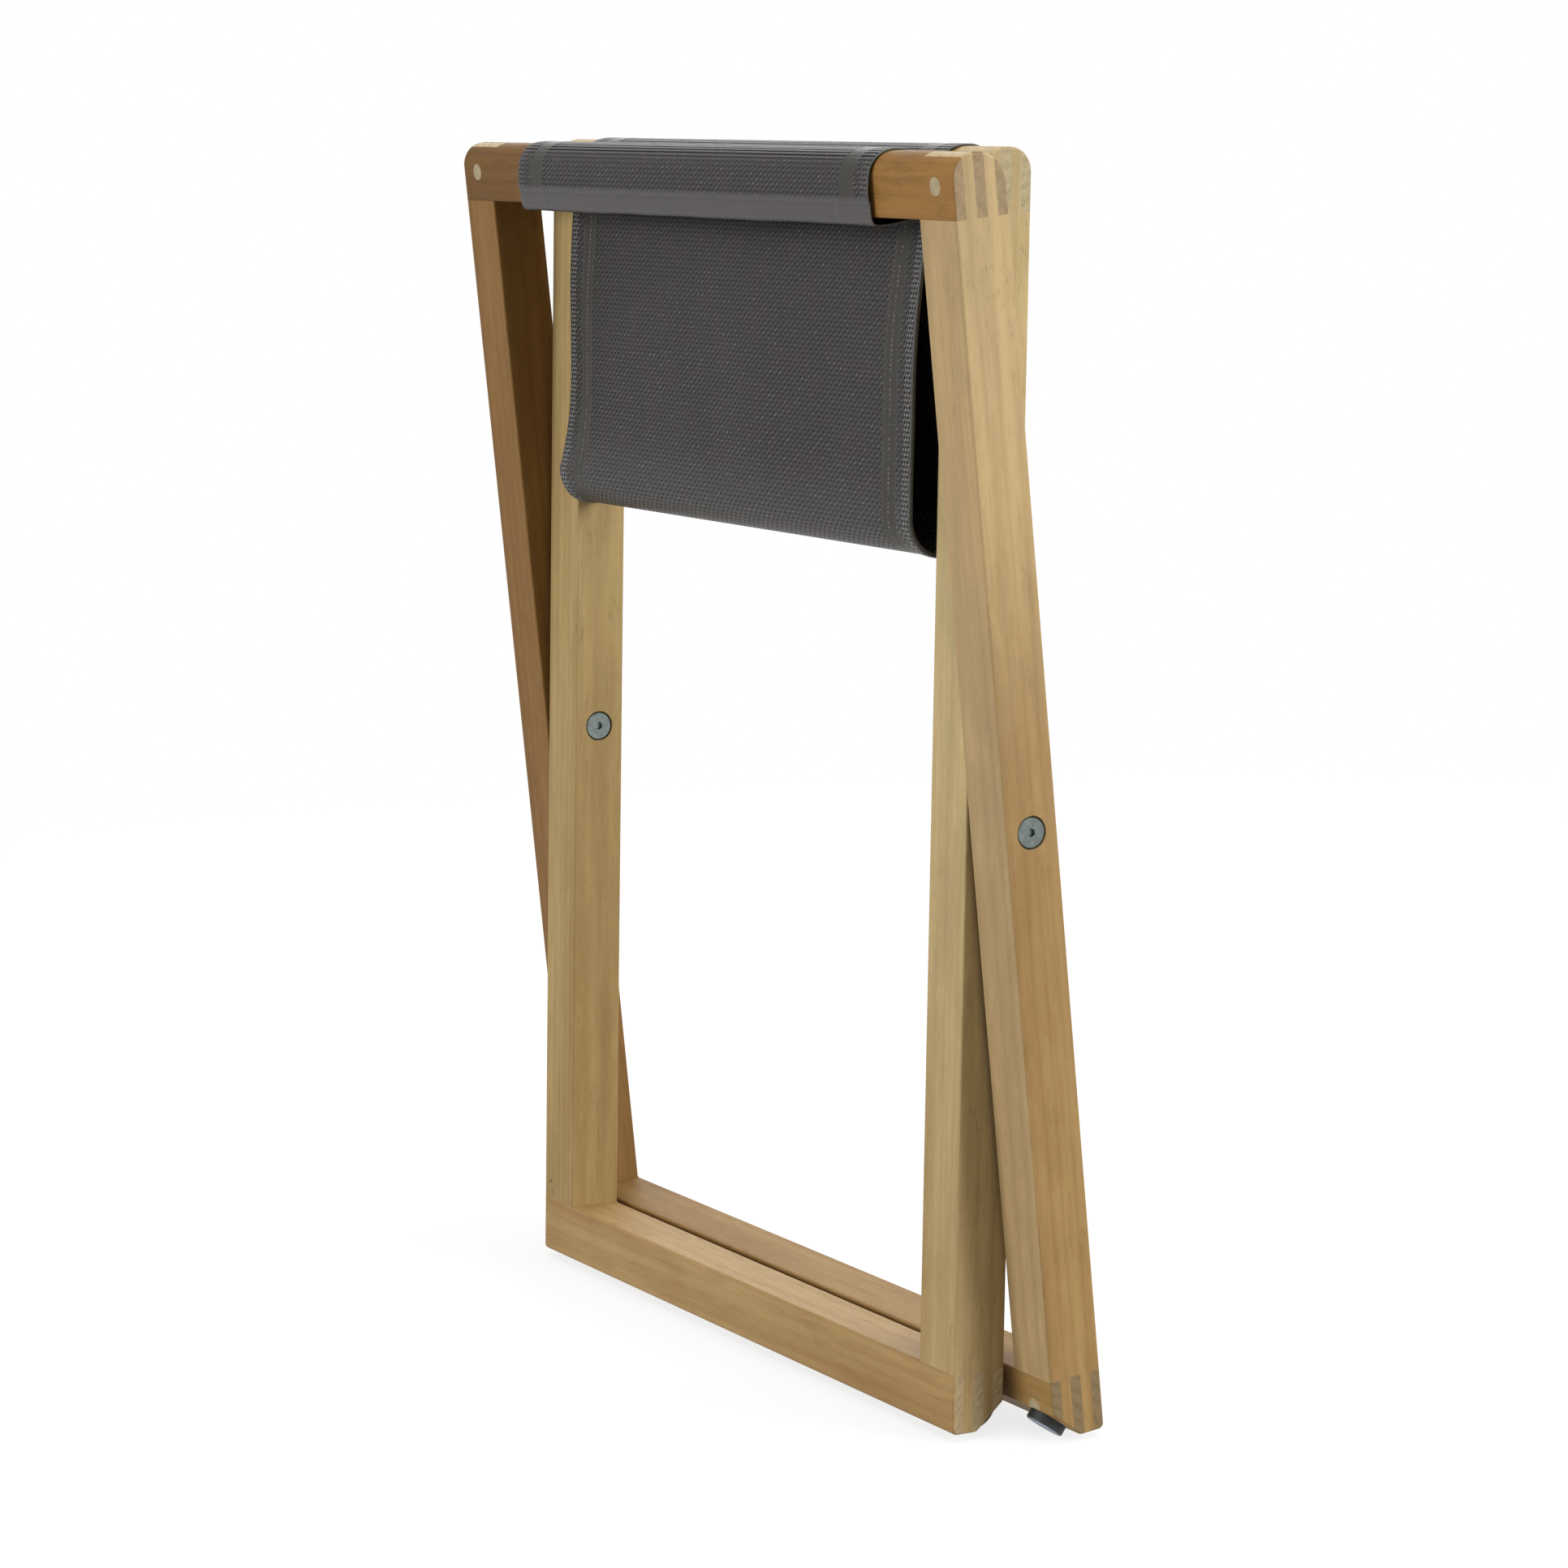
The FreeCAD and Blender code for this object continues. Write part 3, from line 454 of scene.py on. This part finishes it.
def sling_mesh(name):
    """Coated yarn in an open weave, with a hem welded flat along both side edges."""
    g = material_graph(name)
    uv = g.node("ShaderNodeUVMap", {"uv_map": "Cloth"}).outputs["UV"]
    across, down, _ = g.split(uv)
    inner = g.attribute("inner")
    cross_weld = g.attribute("weld")
    from_rail = g.calc("MINIMUM", down, g.calc("SUBTRACT", 2 * TOTAL * MM, down))
    on_panel = g.remap(from_rail, (AT_HANG + 2) * MM, (AT_HANG + 6) * MM)
    crown = g.times(g.remap(from_rail, 18 * MM, 25 * MM), g.rest_of(on_panel))
    weave = Weave(g, across, down, on_panel)

    edge = g.calc("SUBTRACT", HALF_CLOTH * MM, g.calc("ABSOLUTE", across))
    edge_mm = g.times(edge, 1000.0)
    weld_in = g.remap(edge_mm, WELD_FROM - 0.5, WELD_FROM + 0.5)
    weld_out = g.remap(edge_mm, WELD_TO + 0.5, WELD_TO - 0.5)
    side_weld = g.times(weld_in, weld_out)
    welded = g.calc("MAXIMUM", side_weld, g.times(cross_weld, 0.8))
    solid = g.calc("MAXIMUM", welded, g.remap(edge_mm, 1.9, 1.3))
    woven = g.rest_of(solid)
    doubled = g.remap(edge_mm, HEM + 0.4, HEM - 0.4)

    speck = g.noise(uv, 900.0, 2.0, 0.6)
    yarn = yarn_tone(g, uv, weave, speck, from_rail)
    yarn = g.mix(g.times(edge_dots(g, weave, edge_mm, on_panel), 0.75), yarn, EDGE_DOT)
    streaks = g.remap(g.noise(g.mapping(uv, scale=(12, 1, 1)), 1300.0, 2.0, 0.6), 0.35, 0.68)
    yarn = g.mix(g.times(side_weld, 0.92), yarn, g.mix(streaks, *HEM_WELD))
    yarn = g.mix(g.times(cross_weld, 0.8), yarn, g.mix(streaks, *CROSS_WELD))
    yarn = with_threads(g, yarn, uv, weave, edge_mm, on_panel)
    # On the crown of the sleeve: painted shade in the furrows between the rows and painted
    # highlights on the rows.
    painted_furrow_shade = g.times(crown, g.remap(weave.in_row, 0.22, 0.42), woven)
    yarn = g.mix(g.times(painted_furrow_shade, 0.7), yarn, CROWN_SHADE)
    painted_ridge_highlight = g.times(crown, g.remap(weave.in_row, 0.20, 0.06), 0.35)
    yarn = g.mix(painted_ridge_highlight, yarn, CROWN_HIGHLIGHT)
    # Painted shade in the holes of the weave, for the dark that is seen through them.
    gap = g.times(g.remap(weave.in_column, 0.27, 0.36), g.remap(weave.in_row, 0.29, 0.38))
    gap = g.times(gap, g.calc("MULTIPLY_ADD", weave.full_hole, 0.78, 0.22))
    open_weave = g.times(gap, woven)
    yarn = g.mix(open_weave, yarn, HOLE_SHADE)
    fold = g.remap(edge_mm, 1.3, 0.7)
    yarn = g.mix(g.times(fold, 0.8), yarn, g.mix(on_panel, *EDGE_FOLD))

    # Light passes through the middle of a full hole on the panel. On the face marked as
    # inner the hole is as wide as its column, for light that comes aslant.
    core_x = g.calc("MAXIMUM", g.calc("GREATER_THAN", weave.in_column, 0.39), inner)
    core_s = g.calc("GREATER_THAN", weave.in_row, 0.40)
    single = g.rest_of(g.calc("MAXIMUM", solid, doubled))
    see_through = g.times(core_x, core_s, weave.full_hole, single, on_panel)
    see_through = g.times(see_through, g.calc("MULTIPLY_ADD", inner, -0.15, 0.55))

    relief = g.times(weave.height, g.rest_of(g.times(solid, 0.9)))
    low = g.times(g.remap(weave.height, 0.7, 0.2), woven)
    dull = g.calc("MAXIMUM", g.calc("MAXIMUM", open_weave, low), painted_furrow_shade)
    return g.surface(
        Base_Color=yarn,
        Roughness=g.calc("ADD", 0.40, g.times(speck, 0.12)),
        Normal=g.bump(relief, 0.00034, 0.8),
        Alpha=g.rest_of(see_through),
        Specular_IOR_Level=g.remap(dull, 0.0, 1.0, 0.27, 0.0),
    )


# Lines and curves


def to_stool(v, w):
    """A point of the front frame, across and along its legs, in the stool's frame."""
    y = v * math.cos(LEAN) - w * math.sin(LEAN)
    z = PIVOT_HEIGHT + v * math.sin(LEAN) + w * math.cos(LEAN)
    return Vector((y, z))


def on_circle(centre, radius, degrees):
    angle = math.radians(degrees)
    return centre + radius * Vector((math.cos(angle), math.sin(angle)))


def arc(centre, radius, start, end, count):
    """Points on an arc, by angles in degrees from the first axis."""
    return [on_circle(centre, radius, start + (end - start) * i / count) for i in range(count + 1)]


def rounded(before, corner, after, reach, count=10):
    """A soft bend that leaves the straight runs at the given distance from the corner."""
    first = corner + (before - corner).normalized() * reach
    last = corner + (after - corner).normalized() * reach
    points = []
    for i in range(count + 1):
        t = i / count
        points.append((1 - t) ** 2 * first + 2 * t * (1 - t) * corner + t * t * last)
    return points


def blend_points(ends, t):
    """A place on the smooth curve between the middle two of four points."""
    p0, p1, p2, p3 = ends
    return 0.5 * (2 * p1 + (p2 - p0) * t + (2 * p0 - 5 * p1 + 4 * p2 - p3) * t * t
                  + (3 * p1 - p0 - 3 * p2 + p3) * t ** 3)


def line_length(points):
    return sum((b - a).length for a, b in zip(points, points[1:]))


def length_to(points, target):
    """The length along the line to its nearest point to the target."""
    best, at, so_far = 1e9, 0.0, 0.0
    for a, b in zip(points, points[1:]):
        along = (b - a).length
        share = limited((target - a).dot(b - a) / max(along * along, 1e-9))
        distance = (a.lerp(b, share) - target).length
        if distance < best:
            best, at = distance, so_far + share * along
        so_far += along
    return at


def point_at(points, target):
    """The point of the line at a length from its start."""
    so_far = 0.0
    for a, b in zip(points, points[1:]):
        along = (b - a).length
        if so_far + along >= target:
            return a.lerp(b, (target - so_far) / max(along, 1e-9))
        so_far += along
    return points[-1].copy()


def line_heading(points, length):
    """The way the line runs at a length from its start."""
    return (point_at(points, length + 0.4) - point_at(points, max(0.0, length - 0.4))).normalized()


def cut_line(points, start, end, step):
    """The part of the line between two lengths, at even steps: points, lengths, headings."""
    count = max(2, round((end - start) / step))
    lengths = [start + (end - start) * i / count for i in range(count + 1)]
    rows = [point_at(points, s) for s in lengths]
    return rows, lengths, [line_heading(points, s) for s in lengths]


def mirrored(points):
    return [Vector((-p.x, p.y)) for p in points]


def soft_noise(x, y, seed):
    return noise.noise(Vector((x, y, seed)))


# The cloth's section across its width, and the sweep that makes a sheet of it

CLOTH = 0.9
EDGE_COLUMNS = (0.9, 2.2, 4.5, 8, 12, 13.6, 14.4, 18, 22, 26.4, 27.4, 29.4, 30.6)
FIELD_FROM = 36
FIELD_COLUMNS = 48


def hem_share(x):
    """1 where the cloth is double along its side edges, 0 in the field."""
    inside = HALF_CLOTH - abs(x)
    return limited((HEM - inside) / 0.8 + 0.5)


def cross_section():
    """Round the cloth once: a place across, and its face or its angle on the round edge."""
    left = [-HALF_CLOTH + c for c in EDGE_COLUMNS]
    span = HALF_CLOTH - FIELD_FROM
    field = [-span + 2 * span * i / FIELD_COLUMNS for i in range(FIELD_COLUMNS + 1)]
    xs = left + field + [-x for x in reversed(left)]
    section = [(x, 1, None) for x in xs]
    section += [(HALF_CLOTH - 0.9, None, angle) for angle in (45, 0, -45)]
    section += [(x, -1, None) for x in reversed(xs)]
    section += [(-HALF_CLOTH + 0.9, None, angle) for angle in (-135, 180, 135)]
    return section


SECTION = cross_section()


def faces_at(x, fullness):
    """How far the outer and the inner face stand from the middle line."""
    inside = HALF_CLOTH - abs(x)
    extra = 0.12 + 0.63 * fullness
    if WELD_FROM < inside < WELD_TO:
        return CLOTH / 2 + extra * 0.7, -CLOTH / 2
    fold = limited((WELD_FROM - inside) / 10)
    return CLOTH / 2 + hem_share(x) * extra, -CLOTH / 2 - fold * 0.8 * fullness


def section_point(column, fullness):
    """The place across the cloth and the offset from its middle line of a section point."""
    x, face, angle = column
    upper, lower = faces_at(x, fullness)
    if face is not None:
        return x, upper if face > 0 else lower
    radius = (upper - lower) / 2
    offset = (upper + lower) / 2 + radius * math.sin(math.radians(angle))
    return x + radius * math.cos(math.radians(angle)) * 0.9, offset


def weave_sheet(name, rows, lengths, headings, wobble, side=1.0, band=None, hem=None,
                uv_start=0.0, uv_way=1.0, hidden_face=-1):
    """Sweeps the cloth's section along a line. Side is 1 where the outer face is on its left.

    The band is where the cloth is welded across, the hem how thick its side hems are, and
    the hidden face (1 or -1) is the one marked as inner.
    """
    mesh = bmesh.new()
    n = len(SECTION)
    bmesh.ops.create_grid(mesh, x_segments=n, y_segments=len(rows) - 1, size=1)
    mesh.verts.ensure_lookup_table()
    uv_layer = mesh.loops.layers.uv.new("Cloth")
    weld_layer = mesh.verts.layers.float.new("weld")
    inner_layer = mesh.verts.layers.float.new("inner")
    across_layer = mesh.verts.layers.float.new("across")
    down_layer = mesh.verts.layers.float.new("down")
    for index, vert in enumerate(mesh.verts):
        column = SECTION[index % (n + 1) % n]
        j = index // (n + 1)
        outwards = Vector((-headings[j].y, headings[j].x)) * side
        x, offset = section_point(column, hem[j] if hem else 0.0)
        point = rows[j] + outwards * (offset + wobble(x, lengths[j]))
        vert.co = (x * MM, point.x * MM, point.y * MM)
        vert[weld_layer] = band[j] if band else 0.0
        vert[inner_layer] = 1.0 if column[1] == hidden_face else 0.0
        vert[across_layer] = x * MM
        vert[down_layer] = (uv_start + uv_way * lengths[j]) * MM
    for face in mesh.faces:
        for loop in face.loops:
            loop[uv_layer].uv = (loop.vert[across_layer], loop.vert[down_layer])
    bmesh.ops.remove_doubles(mesh, verts=mesh.verts, dist=1e-6)
    open_edges = [edge for edge in mesh.edges if edge.is_boundary]
    bmesh.ops.holes_fill(mesh, edges=open_edges, sides=0)
    for edge in open_edges:
        edge.smooth = False
    bmesh.ops.recalc_face_normals(mesh, faces=mesh.faces)
    made = object_from(mesh, name)
    for polygon in made.data.polygons:
        polygon.use_smooth = len(polygon.vertices) < 6
    return made


# The hanging half of the sling, from the top of the front rail to the mid-plane

RING = Vector((-1.0, 312.0))
SLEEVE_RADIUS = 16.62
LIP_RADIUS = 17.65
LIP_ANGLE = math.radians(50.56)
LIP_HINGE = to_stool(RING.x + LIP_RADIUS * math.sin(LIP_ANGLE),
                     RING.y + LIP_RADIUS * math.cos(LIP_ANGLE))
HANG = Vector((-1.51247, 608.180))
KNEE = Vector((-13.485, 540.282))
BEND_CENTRE = Vector((0.0, 457.717))
BEND_RADIUS = 18.5
BEND_STEPS = 48
WELD_TOP = 303.4
FACE_RING = Vector((-3.0, 316.0))
FACE_RADII = (13.65, 12.62)


def sling_line():
    """From the weld in front, over the top of the rail, down behind it and round the bend."""
    rise = [Vector((-17.15, WELD_TOP)), Vector((-17.5, 307.0)), Vector((-17.2, 311.5))]
    front = []
    for i in range(29):
        angle = math.radians(176 - 86 * i / 28)
        spoke = Vector((FACE_RADII[0] * math.cos(angle), FACE_RADII[1] * math.sin(angle)))
        front.append(FACE_RING + spoke)
    over = []
    for i in range(1, 45):
        degrees = 90 - 2 * i
        lift = limited((84 - degrees) / 44)
        radius = SLEEVE_RADIUS + (LIP_RADIUS - SLEEVE_RADIUS) * lift * lift * (3 - 2 * lift)
        over.append(on_circle(RING, radius, degrees))
    points = [to_stool(p.x, p.y) for p in rise + front + over]
    bend = arc(BEND_CENTRE, BEND_RADIUS, 176.5, 270, BEND_STEPS)
    points += rounded(points[-1], HANG, KNEE, 8.0)
    points += rounded(HANG, KNEE, bend[0], 24.0, 16)
    return points + bend


LINE = sling_line()
TOTAL = line_length(LINE)
AT_LIP = length_to(LINE, LIP_HINGE)
AT_HANG = length_to(LINE, HANG)
AT_BEND = length_to(LINE, LINE[-BEND_STEPS - 1])
THIRD = (TOTAL - AT_BEND) / 3

# Where the half is cut into sheets, and a span of lengths for each sheet round where two bodies meet

CUTS = (
    0.0,
    (AT_LIP + AT_HANG) / 2,
    (AT_HANG + AT_BEND) / 2,
    AT_BEND + THIRD,
    AT_BEND + 2 * THIRD,
    TOTAL,
)
ZONES = (
    (AT_LIP - 8, AT_LIP + 9),
    (AT_HANG - 9, AT_HANG + 12),
    (AT_BEND, AT_BEND + THIRD),
    (AT_BEND + THIRD, AT_BEND + 2 * THIRD),
    (AT_BEND + 2 * THIRD, TOTAL),
)

# The sheets of one half: name, node and the step along the line

PARTS = (
    ("sling_over_rail", "lip", 1.2),
    ("sling_panel_top", "panel", 2.5),
    ("sling_bend_upper", "fold_1", 2.0),
    ("sling_bend_middle", "fold_2", 0.9),
    ("sling_bend_lower", "fold_3", 0.9),
)


def bulge(x, above_weld):
    """How far the cloth stands off the front of the rail, most at its ends."""
    spread = 8 if above_weld > 7 else 14
    towards_ends = 0.3 + 0.9 * (abs(x) / HALF_CLOTH) ** 2
    return 0.65 * math.exp(-((above_weld - 7) / spread) ** 2) * towards_ends


def hang_wobble(seed):
    """Ripples and creases of the hanging cloth, and the slack of its left edge."""
    def wobble(x, s):
        fade = limited((s - AT_HANG - 4) / 25) * limited((TOTAL - 22 - s) / 25)
        ripple = soft_noise(x / 62, s / 70, seed) * 1.3 + soft_noise(x / 23, s / 40, seed + 7) * 0.35
        crease = soft_noise(x / 48, s / 26, seed + 3) * 0.4 * limited((24 - s) / 14)
        down = limited((s - AT_HANG) / (AT_BEND - AT_HANG))
        left = max(0.0, -x / HALF_CLOTH) ** 1.6
        slack = 7.0 * left * math.sin(math.pi * down ** 1.6)
        return fade * ripple + bulge(x, s) + crease + slack
    return wobble


def make_half(half, mirror, cloth):
    """The sheets from the weld over the rail to the middle of the loop."""
    wobble = hang_wobble(3.0 if mirror else 11.0)
    way = -1.0 if mirror else 1.0
    for i, (label, tail, step) in enumerate(PARTS):
        rows, lengths, headings = cut_line(LINE, CUTS[i], CUTS[i + 1], step)
        start, end = (point_at(LINE, s) for s in ZONES[i])
        if mirror:
            rows, headings, (start, end) = mirrored(rows), mirrored(headings), mirrored((start, end))
        hem = [limited((s - AT_LIP) / 15) for s in lengths]
        band = [limited((3.4 - s) / 0.8 + 0.5) for s in lengths]
        made = weave_sheet(half + "_" + label, rows, lengths, headings, wobble, side=way,
                           band=band, hem=hem, uv_start=2 * TOTAL if mirror else 0.0, uv_way=way,
                           hidden_face=1 if i > 0 else -1)
        made.data.materials.append(cloth)
        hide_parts(half + "_" + tail)
        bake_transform(made)


# The end of the cloth, turned back under the rail and welded to the front of the sleeve

TURNED_BACK = (
    (-16.5, 304.4), (-16.75, 303.2), (-16.95, 299.0), (-16.6, 295.6), (-14.8, 293.7),
    (-10.5, 293.2), (-3.0, 293.3), (5.0, 294.2), (11.5, 295.1), (14.6, 296.0),
    (15.55, 298.2), (15.5, 303.0), (15.5, 309.0),
)
WELD_MIDDLE = (-16.95, 299.2)
WELD_END = (-16.75, WELD_TOP)
RAIL_SEAT = (-3.0, 293.3)


def turned_line():
    """Under the rail and up its far side, ending below the lip."""
    points = [Vector(p) for p in TURNED_BACK]
    last = len(points) - 1
    made = []
    for i in range(last):
        ends = [points[max(0, i - 1)], points[i], points[i + 1], points[min(last, i + 2)]]
        made += [blend_points(ends, j / 10) for j in range(10)]
    made += arc(RING, 16.5, 0, 52, 24)
    return [to_stool(p.x, p.y) for p in made]


def make_sleeve(half, frame_body, mirror, cloth):
    """The sheet that closes the pocket round the rail."""
    line = turned_line()
    total = line_length(line)
    rows, lengths, headings = cut_line(line, 0.0, total, 1.2)
    at = length_to(line, to_stool(*WELD_MIDDLE))
    weld_end = length_to(line, to_stool(*WELD_END))
    seat = length_to(line, to_stool(*RAIL_SEAT))
    band = [limited((5.4 - abs(s - at)) / 0.7 + 0.5) for s in lengths]

    def wobble(x, s):
        sag = math.exp(-((s - seat) / 12) ** 2) * (0.3 + soft_noise(x / 55, 1.0, 5.0) * 1.1)
        ripple = soft_noise(x / 48, s / 26, 21.0 if mirror else 33.0) * 0.4
        fade = limited((seat - 3 - s) / 8)
        return sag + ripple * math.exp(-((s - at - 6) / 12) ** 2) + bulge(x, weld_end - s) * fade

    if mirror:
        rows, headings = mirrored(rows), mirrored(headings)
    made = weave_sheet(half + "_sling_sleeve", rows, lengths, headings, wobble,
                       side=1.0 if mirror else -1.0, band=band)
    made.data.materials.append(cloth)
    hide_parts(half + "_pocket", half + "_pocket_seam")
    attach(made, frame_body)


CLOTH_MATERIAL = sling_mesh("sling_mesh")
for half, frame_name, mirror in (("front", "outer", False), ("rear", "inner", True)):
    make_sleeve(half, frame_name + "_frame", mirror, CLOTH_MATERIAL)
    make_half(half, mirror, CLOTH_MATERIAL)

# Finishes of the solid parts

PALE_END = (0.55, 0.43, 0.235)
GREY_END = (0.385, 0.275, 0.150)
WOODS = {
    "outer_leg_left": dict(
        colour=(0.225, 0.117, 0.030), end_colour=PALE_END, lean=LEAN, pith=(0.31, 0.06), seed=0.3),
    # The right outer leg has painted light on its front face.
    "outer_leg_right": dict(
        colour=(0.375, 0.232, 0.088), far_colour=(0.560, 0.405, 0.200), end_colour=PALE_END,
        painted_front_light=(0.455, 0.315, 0.150), lean=LEAN, pith=(-0.18, 0.07), seed=1.1),
    "outer_top_rail": dict(
        colour=(0.138, 0.065, 0.012), far_colour=(0.270, 0.132, 0.031), end_colour=GREY_END,
        reach=(-0.25, 0.25), along="X", lean=LEAN, pith=(0.55, 0.05), seed=2.7, ring=0.0075,
        streak=0.8, mottle=0.9),
    "outer_bottom_rail": dict(
        colour=(0.298, 0.180, 0.058), end_colour=(0.245, 0.170, 0.080), along="X", lean=LEAN,
        pith=(-0.05, 0.04), seed=3.9),
    "inner_leg_left": dict(
        colour=(0.365, 0.255, 0.101), far_colour=(0.400, 0.285, 0.118), end_colour=PALE_END,
        lean=-LEAN, pith=(0.27, 0.04), seed=4.4, streak=0.65,
        knots=((-0.2079, -0.0313, 0.0454, 0.0017, 0.8), (-0.2062, -0.0316, 0.0394, 0.0026, 0.25))),
    "inner_leg_right": dict(
        colour=(0.400, 0.285, 0.127), far_colour=(0.535, 0.405, 0.196), end_colour=PALE_END,
        reach=(0.05, 0.45), lean=-LEAN, pith=(-0.26, -0.05), seed=5.2,
        knots=((0.2150, -0.0305, 0.0062, 0.0012, 0.8),)),
    "inner_top_rail": dict(
        colour=(0.385, 0.262, 0.105), end_colour=(0.50, 0.41, 0.235), along="X", lean=-LEAN,
        pith=(0.42, -0.05), seed=6.6),
    "inner_bottom_rail": dict(
        colour=(0.368, 0.234, 0.091), end_colour=(0.44, 0.33, 0.175), along="X", lean=-LEAN,
        pith=(-0.05, -0.05), seed=7.3, ring=0.0050),
}


def solid_finishes():
    """The material of every solid part that shows, by its node's name."""
    finishes = {name: teak(name + "_teak", **settings) for name, settings in WOODS.items()}
    dowel = dowel_wood("dowel_end", (0.39, 0.32, 0.185))
    zinc = metal("zinc_plate", (0.17, 0.198, 0.186), 0.24, 1400.0)
    steel = metal("nail_steel", (0.30, 0.30, 0.29), 0.34, 900.0)
    glide = plastic("glide_plastic", (0.004, 0.0065, 0.006), 0.50, 1600.0, 0.00005)
    sole = plastic("glide_sole", (0.31, 0.345, 0.44), 0.62, 1100.0, 0.00012)
    washer = plastic("washer_plastic", (0.016, 0.016, 0.016), 0.46, 1600.0, 0.00004)
    for which in ("outer", "inner"):
        finishes[which + "_dowels"] = dowel
        finishes[which + "_glide_left"] = glide
        finishes[which + "_glide_right"] = glide
        finishes[which + "_glide_soles"] = sole
        finishes[which + "_glide_nails"] = steel
    for side in ("left", "right"):
        finishes["pivot_bolt_" + side] = zinc
        finishes["sleeve_nut_" + side] = zinc
        finishes["pivot_washer_" + side] = washer
    return finishes


for name, finish in solid_finishes().items():
    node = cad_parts[name]
    if not node.material_slots:
        node.data.materials.append(finish)
    for slot in node.material_slots:
        slot.material = finish

# Floor, light and camera

WHITE = (1, 1, 1, 1)
SKY_LEVEL = 0.155
FLOOR_GLOW = 0.80
FLOOR_PALE = (0.24, 0.24, 0.24, 1)
FLOOR_PLAIN = (0.50, 0.50, 0.50, 1)
FLOOR_SIZE = 40

# Lamps: name, direction towards the light, level and spread in degrees

LAMPS = (
    ("side_lamp", (0.80, 0.55, 0.32), 0.75, 24),
    ("front_lamp", (-0.20, -0.95, 0.22), 0.59, 26),
    ("top_lamp", (0.10, 0.05, 1.0), 0.52, 60),
    ("back_lamp", (-0.62, 0.62, 0.30), 0.34, 50),
)

CAMERA_PLACE = (2.0097, -1.1886, 0.7144)
CAMERA_RIGHT = Vector((0.51773, 0.85475, -0.03672))
CAMERA_UP = Vector((-0.13040, 0.12126, 0.98401))
CAMERA_FORWARD = Vector((-0.84555, 0.50467, -0.17424))
CAMERA_LENS = 102.56
CAMERA_SENSOR = 36


def seen_ray(g):
    """1 where the camera, gloss or glass looks at it, 0 where it only lights the stool."""
    path = g.node("ShaderNodeLightPath").outputs
    seen = g.calc("MAXIMUM", path["Is Camera Ray"], path["Is Glossy Ray"])
    return g.calc("MAXIMUM", seen, path["Is Transmission Ray"])


def floor_material():
    """A plain floor that is seen as white away from the stool and keeps its shadow near it."""
    g = material_graph("studio_floor")
    coords = g.node("ShaderNodeTexCoord").outputs["Object"]
    far = g.remap(g.distance(coords, (0, 0, 0)), 0.7, 1.8)
    white = g.node("ShaderNodeEmission", Color=WHITE, Strength=1.0).outputs[0]
    glow = g.node("ShaderNodeEmission", Color=WHITE, Strength=FLOOR_GLOW).outputs[0]
    pale = g.node("ShaderNodeBsdfDiffuse", Color=FLOOR_PALE).outputs[0]
    near = g.node("ShaderNodeAddShader")
    g.join(glow, near.inputs[0])
    g.join(pale, near.inputs[1])
    shown = g.blend_shaders(far, near.outputs[0], white)
    plain = g.node("ShaderNodeBsdfDiffuse", Color=FLOOR_PLAIN).outputs[0]
    return g.finish(g.blend_shaders(seen_ray(g), plain, shown))


def make_floor():
    mesh = bmesh.new()
    bmesh.ops.create_grid(mesh, x_segments=8, y_segments=8, size=FLOOR_SIZE)
    floor = object_from(mesh, "studio_floor")
    floor.data.materials.append(floor_material())


def make_world():
    """Soft light all round, seen as plain white."""
    world = bpy.data.worlds.new("studio")
    bpy.context.scene.world = world
    g = Graph(world, "ShaderNodeOutputWorld")
    soft = g.node("ShaderNodeBackground", Color=WHITE, Strength=SKY_LEVEL).outputs[0]
    white = g.node("ShaderNodeBackground", Color=WHITE, Strength=1.0).outputs[0]
    g.finish(g.blend_shaders(seen_ray(g), soft, white))


def make_sun(name, towards_light, level, spread):
    """A soft lamp: level 1 lights a face square to it about as its colour is written."""
    lamp = bpy.data.lights.new(name, "SUN")
    lamp.energy = level * math.pi
    lamp.angle = math.radians(spread)
    made = bpy.data.objects.new(name, lamp)
    bpy.context.scene.collection.objects.link(made)
    made.rotation_mode = "QUATERNION"
    made.rotation_quaternion = Vector(towards_light).to_track_quat("Z", "Y")


def make_camera():
    data = bpy.data.cameras.new("view")
    data.lens = CAMERA_LENS
    data.sensor_width = CAMERA_SENSOR
    data.clip_end = 200
    camera = bpy.data.objects.new("view", data)
    bpy.context.scene.collection.objects.link(camera)
    turn = Matrix((CAMERA_RIGHT, CAMERA_UP, -CAMERA_FORWARD)).transposed().to_4x4()
    camera.matrix_world = Matrix.Translation(CAMERA_PLACE) @ turn
    bpy.context.scene.camera = camera


make_floor()
make_world()
for settings in LAMPS:
    make_sun(*settings)
make_camera()
bpy.context.scene.view_settings.view_transform = "Standard"
